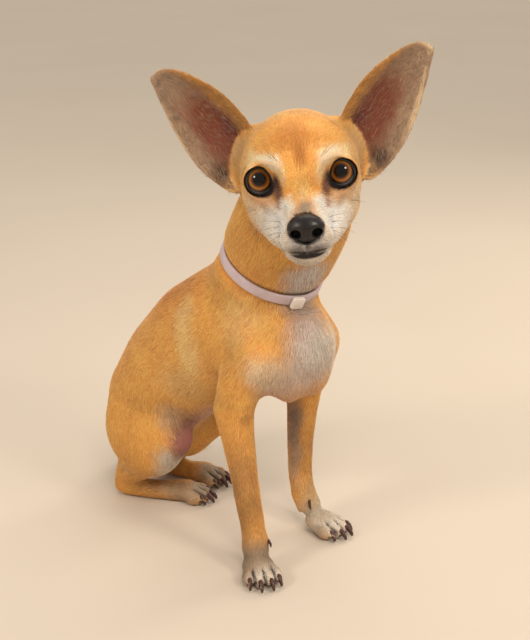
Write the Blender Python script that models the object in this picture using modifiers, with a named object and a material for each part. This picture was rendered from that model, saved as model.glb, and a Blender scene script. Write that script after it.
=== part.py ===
"""A seated short-haired chihuahua, life size, wearing a slim collar with a square slide.

Metres, +Z up. The dog faces -Y, so its own right side is at -X. Its head is turned to its right and
rolled a little. The origin is on the floor, in the middle of the rectangle that the dog covers.
Every solid reaches out to the tips of the short coat. The flesh is modelled whole, from named forms
that are melted together, and is then parted with thin cuts into the nodes.
"""

import math

import bmesh
import bpy
from mathutils import Matrix, Vector
from mathutils.bvhtree import BVHTree

# Sizes are written in millimetres and turned to metres by MM.
MM = 0.001
GAP = 0.3
FLOOR_CENTRE = (-4.6, 66.4)

# The head's own frame: its origin is midway between the eyes and its nose points along -Y.
EYE_HEIGHT = 286.0
HEAD_PLACE = (-31.0, -39.0)
HEAD_YAW = -40.0
HEAD_ROLL = -6.0

FLESH_VOXEL = 1.15
BODY_TRIANGLES = 2000
HEAD_TRIANGLES = 1500
PAW_TRIANGLES = 230

SIDES = {"right": -1, "left": 1}

FAWN = (0.60, 0.29, 0.10)
CREAM = (0.62, 0.50, 0.38)
EAR_SKIN = (0.42, 0.24, 0.19)
NOSE_LEATHER = (0.03, 0.025, 0.025)
EYE_BROWN = (0.09, 0.03, 0.01)
COLLAR_MAUVE = (0.52, 0.44, 0.46)
SLIDE_CREAM = (0.72, 0.66, 0.60)


def turned(angles):
    """The rotation by angles in degrees about X, then Y, then Z."""
    spin = Matrix.Identity(4)
    for angle, axis in zip(angles, "XYZ"):
        spin = Matrix.Rotation(math.radians(angle), 4, axis) @ spin
    return spin


BODY = Matrix.Translation(Vector((-FLOOR_CENTRE[0], -FLOOR_CENTRE[1], 0)) * MM)
HEAD = BODY @ Matrix.Translation(Vector((*HEAD_PLACE, EYE_HEIGHT)) * MM) @ turned((0, HEAD_ROLL, HEAD_YAW))


def clear_scene():
    """Empties the file, so that the script can run again in the same session."""
    for old in list(bpy.data.objects):
        bpy.data.objects.remove(old)


def material(name, colour, roughness):
    """A plain Principled material for one kind of surface."""
    made = bpy.data.materials.new(name)
    made.use_nodes = True
    shader = made.node_tree.nodes["Principled BSDF"]
    shader.inputs["Base Color"].default_value = (*colour, 1)
    shader.inputs["Roughness"].default_value = roughness
    return made


# Building blocks. Each takes its sizes in millimetres in a frame, which is BODY or HEAD.


def object_from(bm, name):
    """Turns a bmesh into an object in the dog's collection."""
    bmesh.ops.recalc_face_normals(bm, faces=bm.faces)
    mesh = bpy.data.meshes.new(name)
    bm.to_mesh(mesh)
    bm.free()
    made = bpy.data.objects.new(name, mesh)
    DOG.objects.link(made)
    return made


def loft(name, stations, frame=None, reference=(0, 0, 1), sides=24, grow=0.0):
    """A closed round form through stations of (x, y, z, half width, half depth).

    Each ring stands square to the path. Its depth lies along the reference direction. A form that
    is grown reaches further past both ends too.
    """
    centres = [Vector(s[:3]) for s in stations]
    place = (frame or BODY) @ Matrix.Scale(MM, 4)
    bm = bmesh.new()
    rings = []
    for i, (centre, station) in enumerate(zip(centres, stations)):
        path = (centres[min(i + 1, len(centres) - 1)] - centres[max(i - 1, 0)]).normalized()
        if i == 0:
            centre = centre - path * grow
        if i == len(centres) - 1:
            centre = centre + path * grow
        across = Vector(reference).cross(path).normalized()
        basis = Matrix((across, path.cross(across), path)).transposed().to_4x4()
        size = Matrix.Diagonal((station[3] + grow, station[4] + grow, 1, 1))
        ring = bmesh.ops.create_circle(bm, segments=sides, radius=1,
                                       matrix=place @ Matrix.Translation(centre) @ basis @ size)
        rings.append(ring["verts"])
    for first, second in zip(rings, rings[1:]):
        for i in range(sides):
            j = (i + 1) % sides
            bm.faces.new((first[i], first[j], second[j], second[i]))
    bm.faces.new(rings[0])
    bm.faces.new(rings[-1])
    return object_from(bm, name)


def ball(name, centre, radii, frame=None, turn=(0, 0, 0), detail=(24, 16), grow=0.0):
    """An ellipsoid with its poles along its own Y."""
    place = (frame or BODY) @ Matrix.Scale(MM, 4) @ Matrix.Translation(centre) @ turned(turn)
    size = Matrix.Diagonal([r + grow for r in radii] + [1])
    bm = bmesh.new()
    bmesh.ops.create_uvsphere(bm, u_segments=detail[0], v_segments=detail[1], radius=1,
                              matrix=place @ size @ turned((90, 0, 0)))
    return object_from(bm, name)


def box(name, centre, half, frame=None, turn=(0, 0, 0), grow=0.0):
    """A box given by its half sides."""
    place = (frame or BODY) @ Matrix.Scale(MM, 4) @ Matrix.Translation(centre) @ turned(turn)
    size = Matrix.Diagonal([2 * (h + grow) for h in half] + [1])
    bm = bmesh.new()
    bmesh.ops.create_cube(bm, size=1, matrix=place @ size)
    return object_from(bm, name)


def ring(name, centre, radii, section, frame=None, turn=(0, 0, 0), steps=28):
    """An oval ring about its own Y, through a section of points (outward, along Y)."""
    place = (frame or BODY) @ Matrix.Scale(MM, 4) @ Matrix.Translation(centre) @ turned(turn)
    bm = bmesh.new()
    loops = []
    for i in range(steps):
        angle = 2 * math.pi * i / steps
        outward = Vector((math.cos(angle), 0, math.sin(angle)))
        middle = Vector((radii[0] * outward.x, 0, radii[1] * outward.z))
        loops.append([bm.verts.new(place @ (middle + outward * out + Vector((0, along, 0))))
                      for out, along in section])
    for i, loop in enumerate(loops):
        after = loops[(i + 1) % steps]
        for j in range(len(section)):
            k = (j + 1) % len(section)
            bm.faces.new((loop[j], loop[k], after[k], after[j]))
    return object_from(bm, name)


def applied(obj):
    """Replaces an object's mesh by its modified one and drops the modifiers."""
    graph = bpy.context.evaluated_depsgraph_get()
    mesh = bpy.data.meshes.new_from_object(obj.evaluated_get(graph))
    obj.modifiers.clear()
    obj.data = mesh
    obj.vertex_groups.clear()
    return obj


def copy_of(obj, name, grow=0.0):
    """A copy of an object's mesh, pushed outwards along its normals."""
    bm = bmesh.new()
    bm.from_mesh(obj.data)
    bm.normal_update()
    for vert in bm.verts:
        vert.co += vert.normal * grow * MM
    return object_from(bm, name)


def shells_of(bm):
    """The closed surfaces of a mesh, each a set of vertices, the largest first."""
    waiting = set(bm.verts)
    shells = []
    while waiting:
        reached = [waiting.pop()]
        shell = set(reached)
        while reached:
            for edge in reached.pop().link_edges:
                for vert in edge.verts:
                    if vert in waiting:
                        waiting.discard(vert)
                        shell.add(vert)
                        reached.append(vert)
        shells.append(shell)
    return sorted(shells, key=len, reverse=True)


def keep_shell(obj, near=None):
    """Keeps one closed surface of a mesh: the largest, or the large one nearest a point."""
    bm = bmesh.new()
    bm.from_mesh(obj.data)
    shells = shells_of(bm)
    keep = shells[0]
    if near is not None:
        large = [s for s in shells if len(s) > 0.02 * len(bm.verts)]
        keep = min(large, key=lambda s: (sum((v.co for v in s), Vector()) / len(s) - near).length)
    bmesh.ops.delete(bm, geom=[v for v in bm.verts if v not in keep], context="VERTS")
    bm.to_mesh(obj.data)
    bm.free()
    return obj


def combine(obj, others, operation):
    """One Boolean of an object with a collection of closed meshes, which are then removed."""
    cutters = bpy.data.collections.new("joined pieces")
    bpy.context.scene.collection.children.link(cutters)
    for other in others:
        DOG.objects.unlink(other)
        cutters.objects.link(other)
    boolean = obj.modifiers.new("Boolean", "BOOLEAN")
    boolean.operation = operation
    boolean.operand_type = "COLLECTION"
    boolean.collection = cutters
    boolean.solver = "MANIFOLD"
    applied(obj)
    for other in list(cutters.objects):
        bpy.data.objects.remove(other)
    bpy.data.collections.remove(cutters)
    return obj


def fused(name, pieces):
    """Melts overlapping forms into one smooth closed surface of triangles."""
    bm = bmesh.new()
    for piece in pieces:
        bm.from_mesh(piece.data)
        bpy.data.objects.remove(piece)
    return melted(object_from(bm, name))


def melted(obj):
    """Gives an object one even surface round all that it encloses, with no sheet crossing another."""
    melt = obj.modifiers.new("Melt", "REMESH")
    melt.mode = "VOXEL"
    melt.voxel_size = FLESH_VOXEL * MM
    return applied(obj)


def group_inside(obj, inside):
    """Puts the vertices that a test picks into a group and gives the number of faces among them."""
    chosen = {v.index for v in obj.data.vertices if inside(v.co)}
    obj.vertex_groups.new(name="inside").add(list(chosen), 1.0, "REPLACE")
    return sum(1 for face in obj.data.polygons if all(v in chosen for v in face.vertices))


def smoothed(obj, inside, rounds):
    """Relaxes the part of a surface that a test picks."""
    group_inside(obj, inside)
    relax = obj.modifiers.new("Relax", "SMOOTH")
    relax.factor = 0.5
    relax.iterations = rounds
    relax.vertex_group = "inside"
    return applied(obj)


def thinned(obj, inside, triangles):
    """Thins the part of a surface that a test picks down to about that many triangles."""
    faces = group_inside(obj, inside)
    total = len(obj.data.polygons)
    thin = obj.modifiers.new("Thin", "DECIMATE")
    thin.ratio = min(1.0, (total - faces + triangles) / total)
    thin.vertex_group = "inside"
    return applied(obj)


# Trunk, neck and tail

TRUNK = [
    (0, -22, 149, 12, 14), (0, -16, 150, 24, 27), (0, -4, 153, 31, 35), (0, 17, 159, 36, 44),
    (-3, 57, 159, 40, 51), (-8, 91, 138, 41, 48), (-13, 119, 111, 41, 44), (-17, 139, 83, 40, 40),
    (-17, 150, 54, 36, 33), (-15, 157, 36, 27, 23), (-14, 159, 25, 14, 12),
]
NECK = [
    (1, 48, 166, 32, 38), (2, 40, 186, 37, 40), (3, 30, 206, 39, 38), (4, 19, 226, 41.5, 39),
    (4, 7, 246, 42.5, 39), (2, -2, 263, 39, 37), (-2, -8, 278, 28, 26),
]
NAPE = ((6, 12, 259), (30, 27, 34), (0, 0, 0))
TAIL = [
    (-15, 158, 42, 10, 12), (-14, 172, 35, 10, 11), (-11, 187, 23.5, 9, 10), (-3, 201, 12, 8.5, 9),
    (14, 210, 6.8, 8, 8), (36, 211, 5.8, 7.5, 7.2), (55, 203, 5.3, 7, 6.5), (66, 194, 4.6, 5.5, 5.5),
    (70, 190, 4.6, 2.5, 2.5),
]
SHOULDER = ((25, 14, 156), (15, 24, 33), (-20, 0, 0))
CHEST_MUSCLE = ((10, -5, 144), (18, 14, 26), (0, 0, 0))


def trunk_forms():
    """The ribcage, belly and rump, the shoulder blades and the neck that rises from them."""
    forms = [loft("trunk", TRUNK), loft("neck core", NECK, reference=(0, -1, 0)), loft("tail core", TAIL)]
    forms.append(ball("nape", NAPE[0], NAPE[1]))
    for side in SIDES.values():
        for centre, radii, turn in (SHOULDER, CHEST_MUSCLE):
            forms.append(ball("muscle", (side * centre[0], *centre[1:]), radii, turn=turn))
    return forms


# Legs

FORELEG = {
    "right": [(-25, -2, 171, 6, 8), (-28, 0, 162, 13, 16), (-35, 19, 132, 14, 20), (-37, 22, 112, 13, 17),
              (-38, 15, 92, 11.5, 13), (-38, 9, 68, 10, 11), (-38, 3, 44, 9.3, 10),
              (-38, -1, 28, 10.3, 10.5), (-39, -5, 15, 10, 10)],
    "left": [(25, 0, 171, 6, 8), (28, 2, 162, 13, 16), (34, 26, 132, 14, 20), (36, 32, 112, 13, 16),
             (36, 33, 92, 11.5, 12.5), (36, 35, 68, 10, 11), (36, 35, 44, 9.3, 10),
             (36, 31, 28, 10.3, 10.5), (38, 25, 15, 10, 10)],
}
THIGH = {
    "right": ((-37, 127, 67), (21, 36, 40), (0, 0, 18)),
    "left": ((7, 144, 66), (21, 35, 40), (0, 0, 8)),
}
SHANK = {
    "right": [(-32, 92, 72, 12, 11), (-30, 100, 66, 14, 16), (-31, 120, 50, 13.5, 17),
              (-35, 143, 32, 12, 15), (-36, 160, 18, 8, 10), (-35, 163, 12, 7, 7)],
    "left": [(21, 108, 72, 12, 11), (19, 116, 66, 14, 16), (15, 135, 50, 13.5, 17),
             (13, 158, 32, 12, 15), (12, 175, 18, 8, 10), (12, 179, 12, 7, 7)],
}
HIND_FOOT = {
    "right": [(-38, 170, 10, 5, 6), (-35, 163, 8.5, 8, 9), (-26, 147, 8, 7.5, 8.5),
              (-16, 134, 8, 8, 8.5), (-6, 124, 8, 10, 8)],
    "left": [(10, 188, 10, 5, 6), (12, 180, 8.5, 8, 9), (17, 165, 8, 7.5, 8.5),
             (22, 151, 8, 8, 8.5), (26, 141, 8, 10, 8)],
}

# Each paw: its middle on the floor, its heading from -Y towards +X in degrees, and its width.
PAWS = {
    ("fore", "right"): ((-43, -13), -24, 1.0),
    ("fore", "left"): ((40, 12), 14, 1.0),
    ("hind", "right"): ((-3.5, 121), 36, 0.86),
    ("hind", "left"): ((27.5, 138), 20, 0.86),
}
# Each toe: how far it stands sideways and forward, how far it splays and its length.
TOES = [(-10.2, 6.5, -9, 8.2), (-3.9, 10.5, -3, 9.2), (3.9, 10.5, 3, 9.2), (10.2, 6.5, 9, 8.2)]
TOE_RADIUS, TOE_HEIGHT = 4.6, 6.0
CLAW_LENGTH, CLAW_RADIUS = 7.5, 1.7
WRIST_HEIGHT = 30
ANKLE_FORWARD = -16


def paw_frame(kind, side):
    """The frame of one paw: the origin on the floor and -Y towards its toes."""
    (x, y), heading, _ = PAWS[kind, side]
    return BODY @ Matrix.Translation(Vector((x, y, 0)) * MM) @ turned((0, 0, heading))


def leg_forms(side):
    """One foreleg and one hind leg, without the paws."""
    centre, radii, turn = THIGH[side]
    return [
        loft("foreleg core", FORELEG[side], reference=(0, -1, 0)),
        loft("shank", SHANK[side]),
        loft("hind foot core", HIND_FOOT[side]),
        ball("thigh", centre, radii, turn=turn),
    ]


def paw_forms(kind, side):
    """One paw: its rounded back, its pad and its four toes."""
    frame, width = paw_frame(kind, side), PAWS[kind, side][2]
    forms = [ball("paw", (0, 2, 8.2), (12.2 * width, 14, 9), frame)]
    for across, forward, splay, length in TOES:
        forms.append(ball("toe", (across * width, -forward, TOE_HEIGHT),
                          (TOE_RADIUS, length, 6.4), frame, turn=(0, 0, splay)))
    if kind == "fore":
        forms.append(ball("carpal pad", (0, 16, 22), (4, 4, 5), frame))
    return forms


def claws(kind, side):
    """The claws of one paw, with their roots sunk in the toes."""
    frame, width = paw_frame(kind, side), PAWS[kind, side][2]
    made = []
    for across, forward, splay, length in TOES:
        lean = math.tan(math.radians(splay))
        root = -forward - length + 3.5
        stations = []
        for reach, height, size in ((0, 7.2, 1.0), (0.55, 6.6, 0.9), (1.0, 2.8, 0.2)):
            y = root - reach * CLAW_LENGTH
            stations.append((across * width - lean * (y + forward), y, height,
                             CLAW_RADIUS * size, CLAW_RADIUS * 1.15 * size))
        made.append(loft("claw", stations, frame, sides=5))
    if kind == "fore":
        inner = -SIDES[side]
        dew = ((8, 9, 27, 1.0), (11, 6, 24, 0.9), (12.2, 2.8, 18.5, 0.2))
        stations = [(inner * x, y, z, CLAW_RADIUS * s, CLAW_RADIUS * s) for x, y, z, s in dew]
        made.append(loft("dewclaw", stations, frame, reference=(0, -1, 0), sides=5))
    return made


# Head, in its own frame

SKULL = [
    (0, 68, 8, 10, 10), (0, 62, 8, 21, 20), (0, 50, 6, 32, 31), (0, 34, 1.5, 38, 37.5),
    (0, 18, -2, 38.5, 40), (0, 7, -5, 35, 37), (0, 0, -9, 30, 33), (0, -5, -14, 25, 28),
    (0, -10, -19, 21, 23.5), (0, -16, -22.5, 18.5, 20), (0, -24, -25, 16.5, 18.3),
    (0, -32, -27, 15, 16.6), (0, -39, -28.5, 13.5, 15.2), (0, -45, -29, 10.5, 12),
    (0, -48, -29.5, 6.5, 7.5),
]
FOREHEAD = ((0, 17, 7), (32, 24, 31))
BROW = ((16, 4, 12), (12, 9.5, 9))
CHEEK = ((26, 17, -11), (13, 22, 14))
WHISKER_PAD = ((8, -35, -30.5), (8.6, 13, 8.8))
EAR_ROOT = [(22, 43, 27, 6, 6), (25, 43, 21, 10, 10), (29, 43, 12, 12.5, 12), (32, 43, 0, 13, 13),
            (32, 42, -12, 12, 12), (30, 40, -21, 7, 7)]
JOWL = [(25, 26, -22, 13, 16), (22, 12, -24, 13, 15), (17.5, -2, -27, 12, 13), (13.5, -15, -30, 11, 12),
        (10, -26, -32, 9.5, 9.5), (8, -33, -32.5, 6, 6)]
CHIN = [(0, -16, -40, 16, 9), (0, -30, -41.5, 13, 7.5), (0, -38, -41.5, 11.5, 6.5), (0, -42.5, -41, 9, 5),
        (0, -45, -40.5, 5, 3)]

EYE = (25.3, 3.0, 0.0)
EYE_RADIUS = 10.2
EYE_TURN = 13
LID_RADIUS = 12.4
LID_OPENING = (7.7, 8.7)
LID_ROLL = [(1.4, 0), (0.9, -1.3), (-0.4, -1.7), (-1.5, -0.6), (-1.5, 1), (0, 1.8), (1.1, 1.2)]

NOSE = ((0, -45, -21.6), (11.6, 9.0, 9.6))
NOSTRIL = ((5.0, -53.6, -21.4), (2.5, 6.0, 2.9))
NOSTRIL_SLIT = ((9.6, -51.5, -23.6), (3.6, 4.2, 1.0))
PHILTRUM = ((0, -54, -27), (0.6, 4.0, 6.0))

# The line of the mouth from its middle to a corner. Each point lies on the skin, as seen from the
# middle plane at this y, at this angle from straight ahead in degrees, and at this z.
MOUTH = [(-30, 0, -35.4), (-30, 22, -36.4), (-30, 44, -38.6), (-30, 66, -41), (-28, 88, -42.4),
         (-22, 90, -42.2), (-15, 90, -41)]
MOUTH_GROOVE = (3.5, 0.45)
LIP_ROLL = 1.35

# Each ear in stations from its root to its tip: x and z of the inner edge and of the outer edge,
# how deep its cup is, and how far back both edges stand.
EAR = [
    (25, 21, 40, -17, 11, 33), (32, 36.5, 53, -8, 14, 33), (46, 52, 66, 5, 12, 35),
    (59, 61, 73.5, 19, 9.5, 36), (69, 66.5, 79, 32, 6.5, 37), (78, 69.5, 83.8, 46, 3.5, 38),
    (85, 69, 87.5, 58, 1.4, 38.5), (89, 65.8, 89.4, 65.2, 0.1, 39),
]
EAR_COLUMNS = 6
EAR_WALL = 2.4
EAR_REACH = {"right": 0.985, "left": 1.02}


def head_forms():
    """The skull, brows, cheeks, muzzle and lower jaw as overlapping forms."""
    forms = [
        loft("skull", SKULL, HEAD),
        loft("chin", CHIN, HEAD),
        ball("forehead", *FOREHEAD, HEAD),
    ]
    for side in SIDES.values():
        for name, (centre, radii) in (("brow", BROW), ("cheek", CHEEK), ("whisker pad", WHISKER_PAD)):
            forms.append(ball(name, (side * centre[0], *centre[1:]), radii, HEAD))
        forms.append(loft("jowl", [(side * s[0], *s[1:]) for s in JOWL], HEAD))
        forms.append(loft("ear root", [(side * s[0], *s[1:]) for s in EAR_ROOT], HEAD, reference=(0, -1, 0)))
        forms.append(ball("lid", (side * EYE[0], *EYE[1:]), (LID_RADIUS,) * 3, HEAD))
    return forms


def eyeball(name, side, grow=0.0):
    """One eyeball, or the socket that it sits in when it is grown by the gap."""
    return ball(name, (side * EYE[0], *EYE[1:]), (EYE_RADIUS,) * 3, HEAD,
                turn=(0, 0, side * EYE_TURN), detail=(18, 10), grow=grow)


def mouth_line(head):
    """The points of the mouth on the head's skin, from one corner round the front to the other."""
    skin = bmesh.new()
    skin.from_mesh(head.data)
    tree = BVHTree.FromBMesh(skin)
    skin.free()
    points = []
    for side in (-1, 1):
        half = []
        for y, angle, z in MOUTH:
            start = HEAD @ (Vector((0, y, z)) * MM)
            aim = HEAD.to_3x3() @ Vector((side * math.sin(math.radians(angle)), -math.cos(math.radians(angle)), 0))
            half.append((HEAD.inverted() @ tree.ray_cast(start, aim)[0]) / MM)
        points = half[:0:-1] if side < 0 else points + half
    return points


def face_details(head):
    """Adds the lids and lips to the head and cuts the eye openings, the mouth and the nose's seat."""
    rolls = []
    mouth = mouth_line(head)
    for lift in (LIP_ROLL, -LIP_ROLL):
        stations = [(x * 0.97, y * 0.99, z + lift * 0.9, LIP_ROLL, LIP_ROLL) for x, y, z in mouth]
        stations[0] = stations[0][:3] + (0.7, 0.7)
        stations[-1] = stations[-1][:3] + (0.7, 0.7)
        rolls.append(loft("lip", stations, HEAD, sides=8))
    openings = []
    for side in SIDES.values():
        turn = Matrix.Rotation(math.radians(side * EYE_TURN), 3, "Z")
        centre = Vector((side * EYE[0], *EYE[1:])) + turn @ Vector((0, -8.2, 0))
        spin = (0, 0, side * EYE_TURN)
        outer = [opening + 1 for opening in LID_OPENING]
        rolls.append(ring("lid rim", centre, outer, LID_ROLL, HEAD, spin, steps=22))
        openings.append(eyeball("socket", side, grow=GAP))
        cone = [(*(Vector((side * EYE[0], *EYE[1:])) + turn @ Vector((0, -reach, 0))),
                 LID_OPENING[0] * wide, LID_OPENING[1] * wide)
                for reach, wide in ((4, 1), (EYE_RADIUS - 1, 1.04), (EYE_RADIUS + 12, 1.4))]
        openings.append(loft("lid opening", cone, HEAD, sides=20))
    combine(head, rolls, "UNION")
    groove = [(*point, *MOUTH_GROOVE) for point in mouth]
    cuts = [loft("mouth", groove, HEAD, sides=6), ball("nose seat", *NOSE, HEAD, detail=(20, 12), grow=GAP)]
    combine(head, cuts + openings, "DIFFERENCE")
    return keep_shell(head)


def nose():
    """The nose leather with its nostrils, the slits beside them and the groove between."""
    made = ball("nose", *NOSE, HEAD, detail=(20, 12))
    cuts = [ball("groove", *PHILTRUM, HEAD, detail=(10, 6))]
    for side in SIDES.values():
        for (centre, radii), angles in ((NOSTRIL, (0, 0, -14)), (NOSTRIL_SLIT, (0, -14, -30))):
            cuts.append(ball("nostril", (side * centre[0], *centre[1:]), radii, HEAD,
                             turn=[side * a for a in angles], detail=(12, 8)))
    return keep_shell(combine(made, cuts, "DIFFERENCE"))


def ear(name, side):
    """One ear as a cupped wall that is open to the front."""
    place = HEAD @ Matrix.Scale(MM, 4)
    reach = EAR_REACH[name.split("_")[1]]
    bm = bmesh.new()
    rows = []
    for inner_x, inner_z, outer_x, outer_z, depth, back in EAR:
        row = []
        for i in range(EAR_COLUMNS + 1):
            share = i / EAR_COLUMNS
            x = inner_x + (outer_x - inner_x) * share
            z = inner_z + (outer_z - inner_z) * share
            y = back + depth * math.sin(math.pi * share) ** 0.75 - 4 * share * (1 - inner_z / 110)
            row.append(bm.verts.new(place @ Vector((side * x * reach, y, z))))
        rows.append(row)
    for low, high in zip(rows, rows[1:]):
        for i in range(EAR_COLUMNS):
            corners = (low[i], low[i + 1], high[i + 1], high[i])
            bm.faces.new(corners if side > 0 else corners[::-1])
    mesh = bpy.data.meshes.new(name)
    bm.to_mesh(mesh)
    bm.free()
    made = bpy.data.objects.new(name, mesh)
    DOG.objects.link(made)
    finer = made.modifiers.new("Finer", "SUBSURF")
    finer.levels = finer.render_levels = 1
    wall = made.modifiers.new("Wall", "SOLIDIFY")
    wall.thickness = EAR_WALL * MM
    wall.offset = -1
    return applied(made)


# Collar

COLLAR_CENTRE = (2.0, 27.5, 208.5)
COLLAR_TURN = (-62.0, 3.0, 0.0)
COLLAR_RADII = (35.2, 36.4)
COLLAR_FLARE = (9.0, 2.5)
COLLAR_HALF_WALL, COLLAR_HALF_WIDTH = 1.1, 3.6
SLIDE_HALF = (4.6, 4.6, 1.4)
SLIDE_ANGLE = -8.0


def collar(name, grow=0.0):
    """The flat band round the neck."""
    wall, width = COLLAR_HALF_WALL + grow, COLLAR_HALF_WIDTH + grow
    section = [(-wall, -width), (wall, -width), (wall, width), (-wall, width)]
    return ring(name, COLLAR_CENTRE, COLLAR_RADII, section, turn=COLLAR_TURN, steps=40)


def collar_seat():
    """The dent that the band presses into the coat, open outwards."""
    wall, width = COLLAR_HALF_WALL + GAP, COLLAR_HALF_WIDTH + GAP
    out, flare = COLLAR_FLARE
    section = [(-wall, -width), (out, -width - flare), (out, width + flare), (-wall, width)]
    return ring("collar seat", COLLAR_CENTRE, COLLAR_RADII, section, turn=COLLAR_TURN, steps=40)


def slide(name):
    """The square slide that sits on the front of the band."""
    angle = math.radians(SLIDE_ANGLE - 90)
    outward = Vector((math.cos(angle), 0, math.sin(angle)))
    reach = COLLAR_HALF_WALL + GAP + SLIDE_HALF[2]
    local = Vector((COLLAR_RADII[0] * outward.x, 0, COLLAR_RADII[1] * outward.z)) + outward * reach
    place = Matrix.Scale(MM, 4) @ Matrix.Translation(COLLAR_CENTRE) @ turned(COLLAR_TURN)
    place = place @ Matrix.Translation(local) @ turned((0, -SLIDE_ANGLE, 0)) @ Matrix.Scale(1 / MM, 4)
    made = box(name, (0, 0, 0), SLIDE_HALF, BODY @ place)
    soft = made.modifiers.new("Edges", "BEVEL")
    soft.width = 0.9 * MM
    soft.segments = 2
    return applied(made)


# Cuts

HEAD_CUT = ((0, 28, -29), (-57, 0, 0))
NECK_CUT = ((0, 38, 195), (-62, 0, 0))
TAIL_CUT = ((-12.5, 181, 29.5), (-40, 0, -20))
# The space of a foreleg: its middle and half sides at the elbow, and lower down.
FORELEG_SPACE = {
    "right": (((-44, 18, 97), (22.5, 27, 22.5)), ((-44, 10, 35), (22.5, 60, 42))),
    "left": (((44, 29, 97), (22.5, 25, 22.5)), ((44, 10, 35), (22.5, 60, 42))),
}


def slab(name, cut, half, frame=None):
    """A thin plate that parts a form into two, square to its own Y after the turn."""
    return box(name, cut[0], (half, GAP / 2, half), frame, turn=cut[1])


def fore_space(side, grow=0.0):
    """The space that holds one foreleg below the elbow."""
    return [box("leg space", middle, half, grow=grow) for middle, half in FORELEG_SPACE[side]]


def hind_space(side, grow=0.0):
    """The space that holds one hind leg: round its thigh, shank, hock, foot and toes."""
    centre, radii, turn = THIGH[side]
    return [
        ball("thigh space", centre, [r + 1.5 for r in radii], turn=turn, detail=(16, 10), grow=grow),
        loft("shank space", SHANK[side], sides=10, grow=2.5 + grow),
        loft("foot space", HIND_FOOT[side], sides=10, grow=3 + grow),
        ball("hock space", HIND_FOOT[side][1][:3], (13, 13, 13), detail=(10, 6), grow=grow),
        box("toe space", (0, -6, 6), (17, 26, 14), paw_frame("hind", side), grow=grow),
    ]


def taken(flesh, name, space, grown):
    """Takes what lies in a space out of the flesh as a node of its own."""
    combine(space[0], space[1:], "UNION")
    combine(grown[0], grown[1:], "UNION")
    node = combine(copy_of(flesh, name), space[:1], "INTERSECT")
    combine(flesh, grown[:1], "DIFFERENCE")
    return keep_shell(node)


def near_head(point):
    """True in and around the head."""
    return (HEAD.inverted() @ point - Vector((0, 8, -6)) * MM).length < 66 * MM


def behind_face(point):
    """True on the back of the head: round the ear roots, the occiput and the nape."""
    local = HEAD.inverted() @ point
    return local.y > 30 * MM and local.z > -60 * MM


def near_paw(kind, side):
    """A test for the points of one paw."""
    inverse = paw_frame(kind, side).inverted()
    reach = 24 if kind == "fore" else 20

    def inside(point):
        local = inverse @ point
        return local.z < 24 * MM and Vector((local.x, local.y + 3 * MM)).length < reach * MM
    return inside


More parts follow.
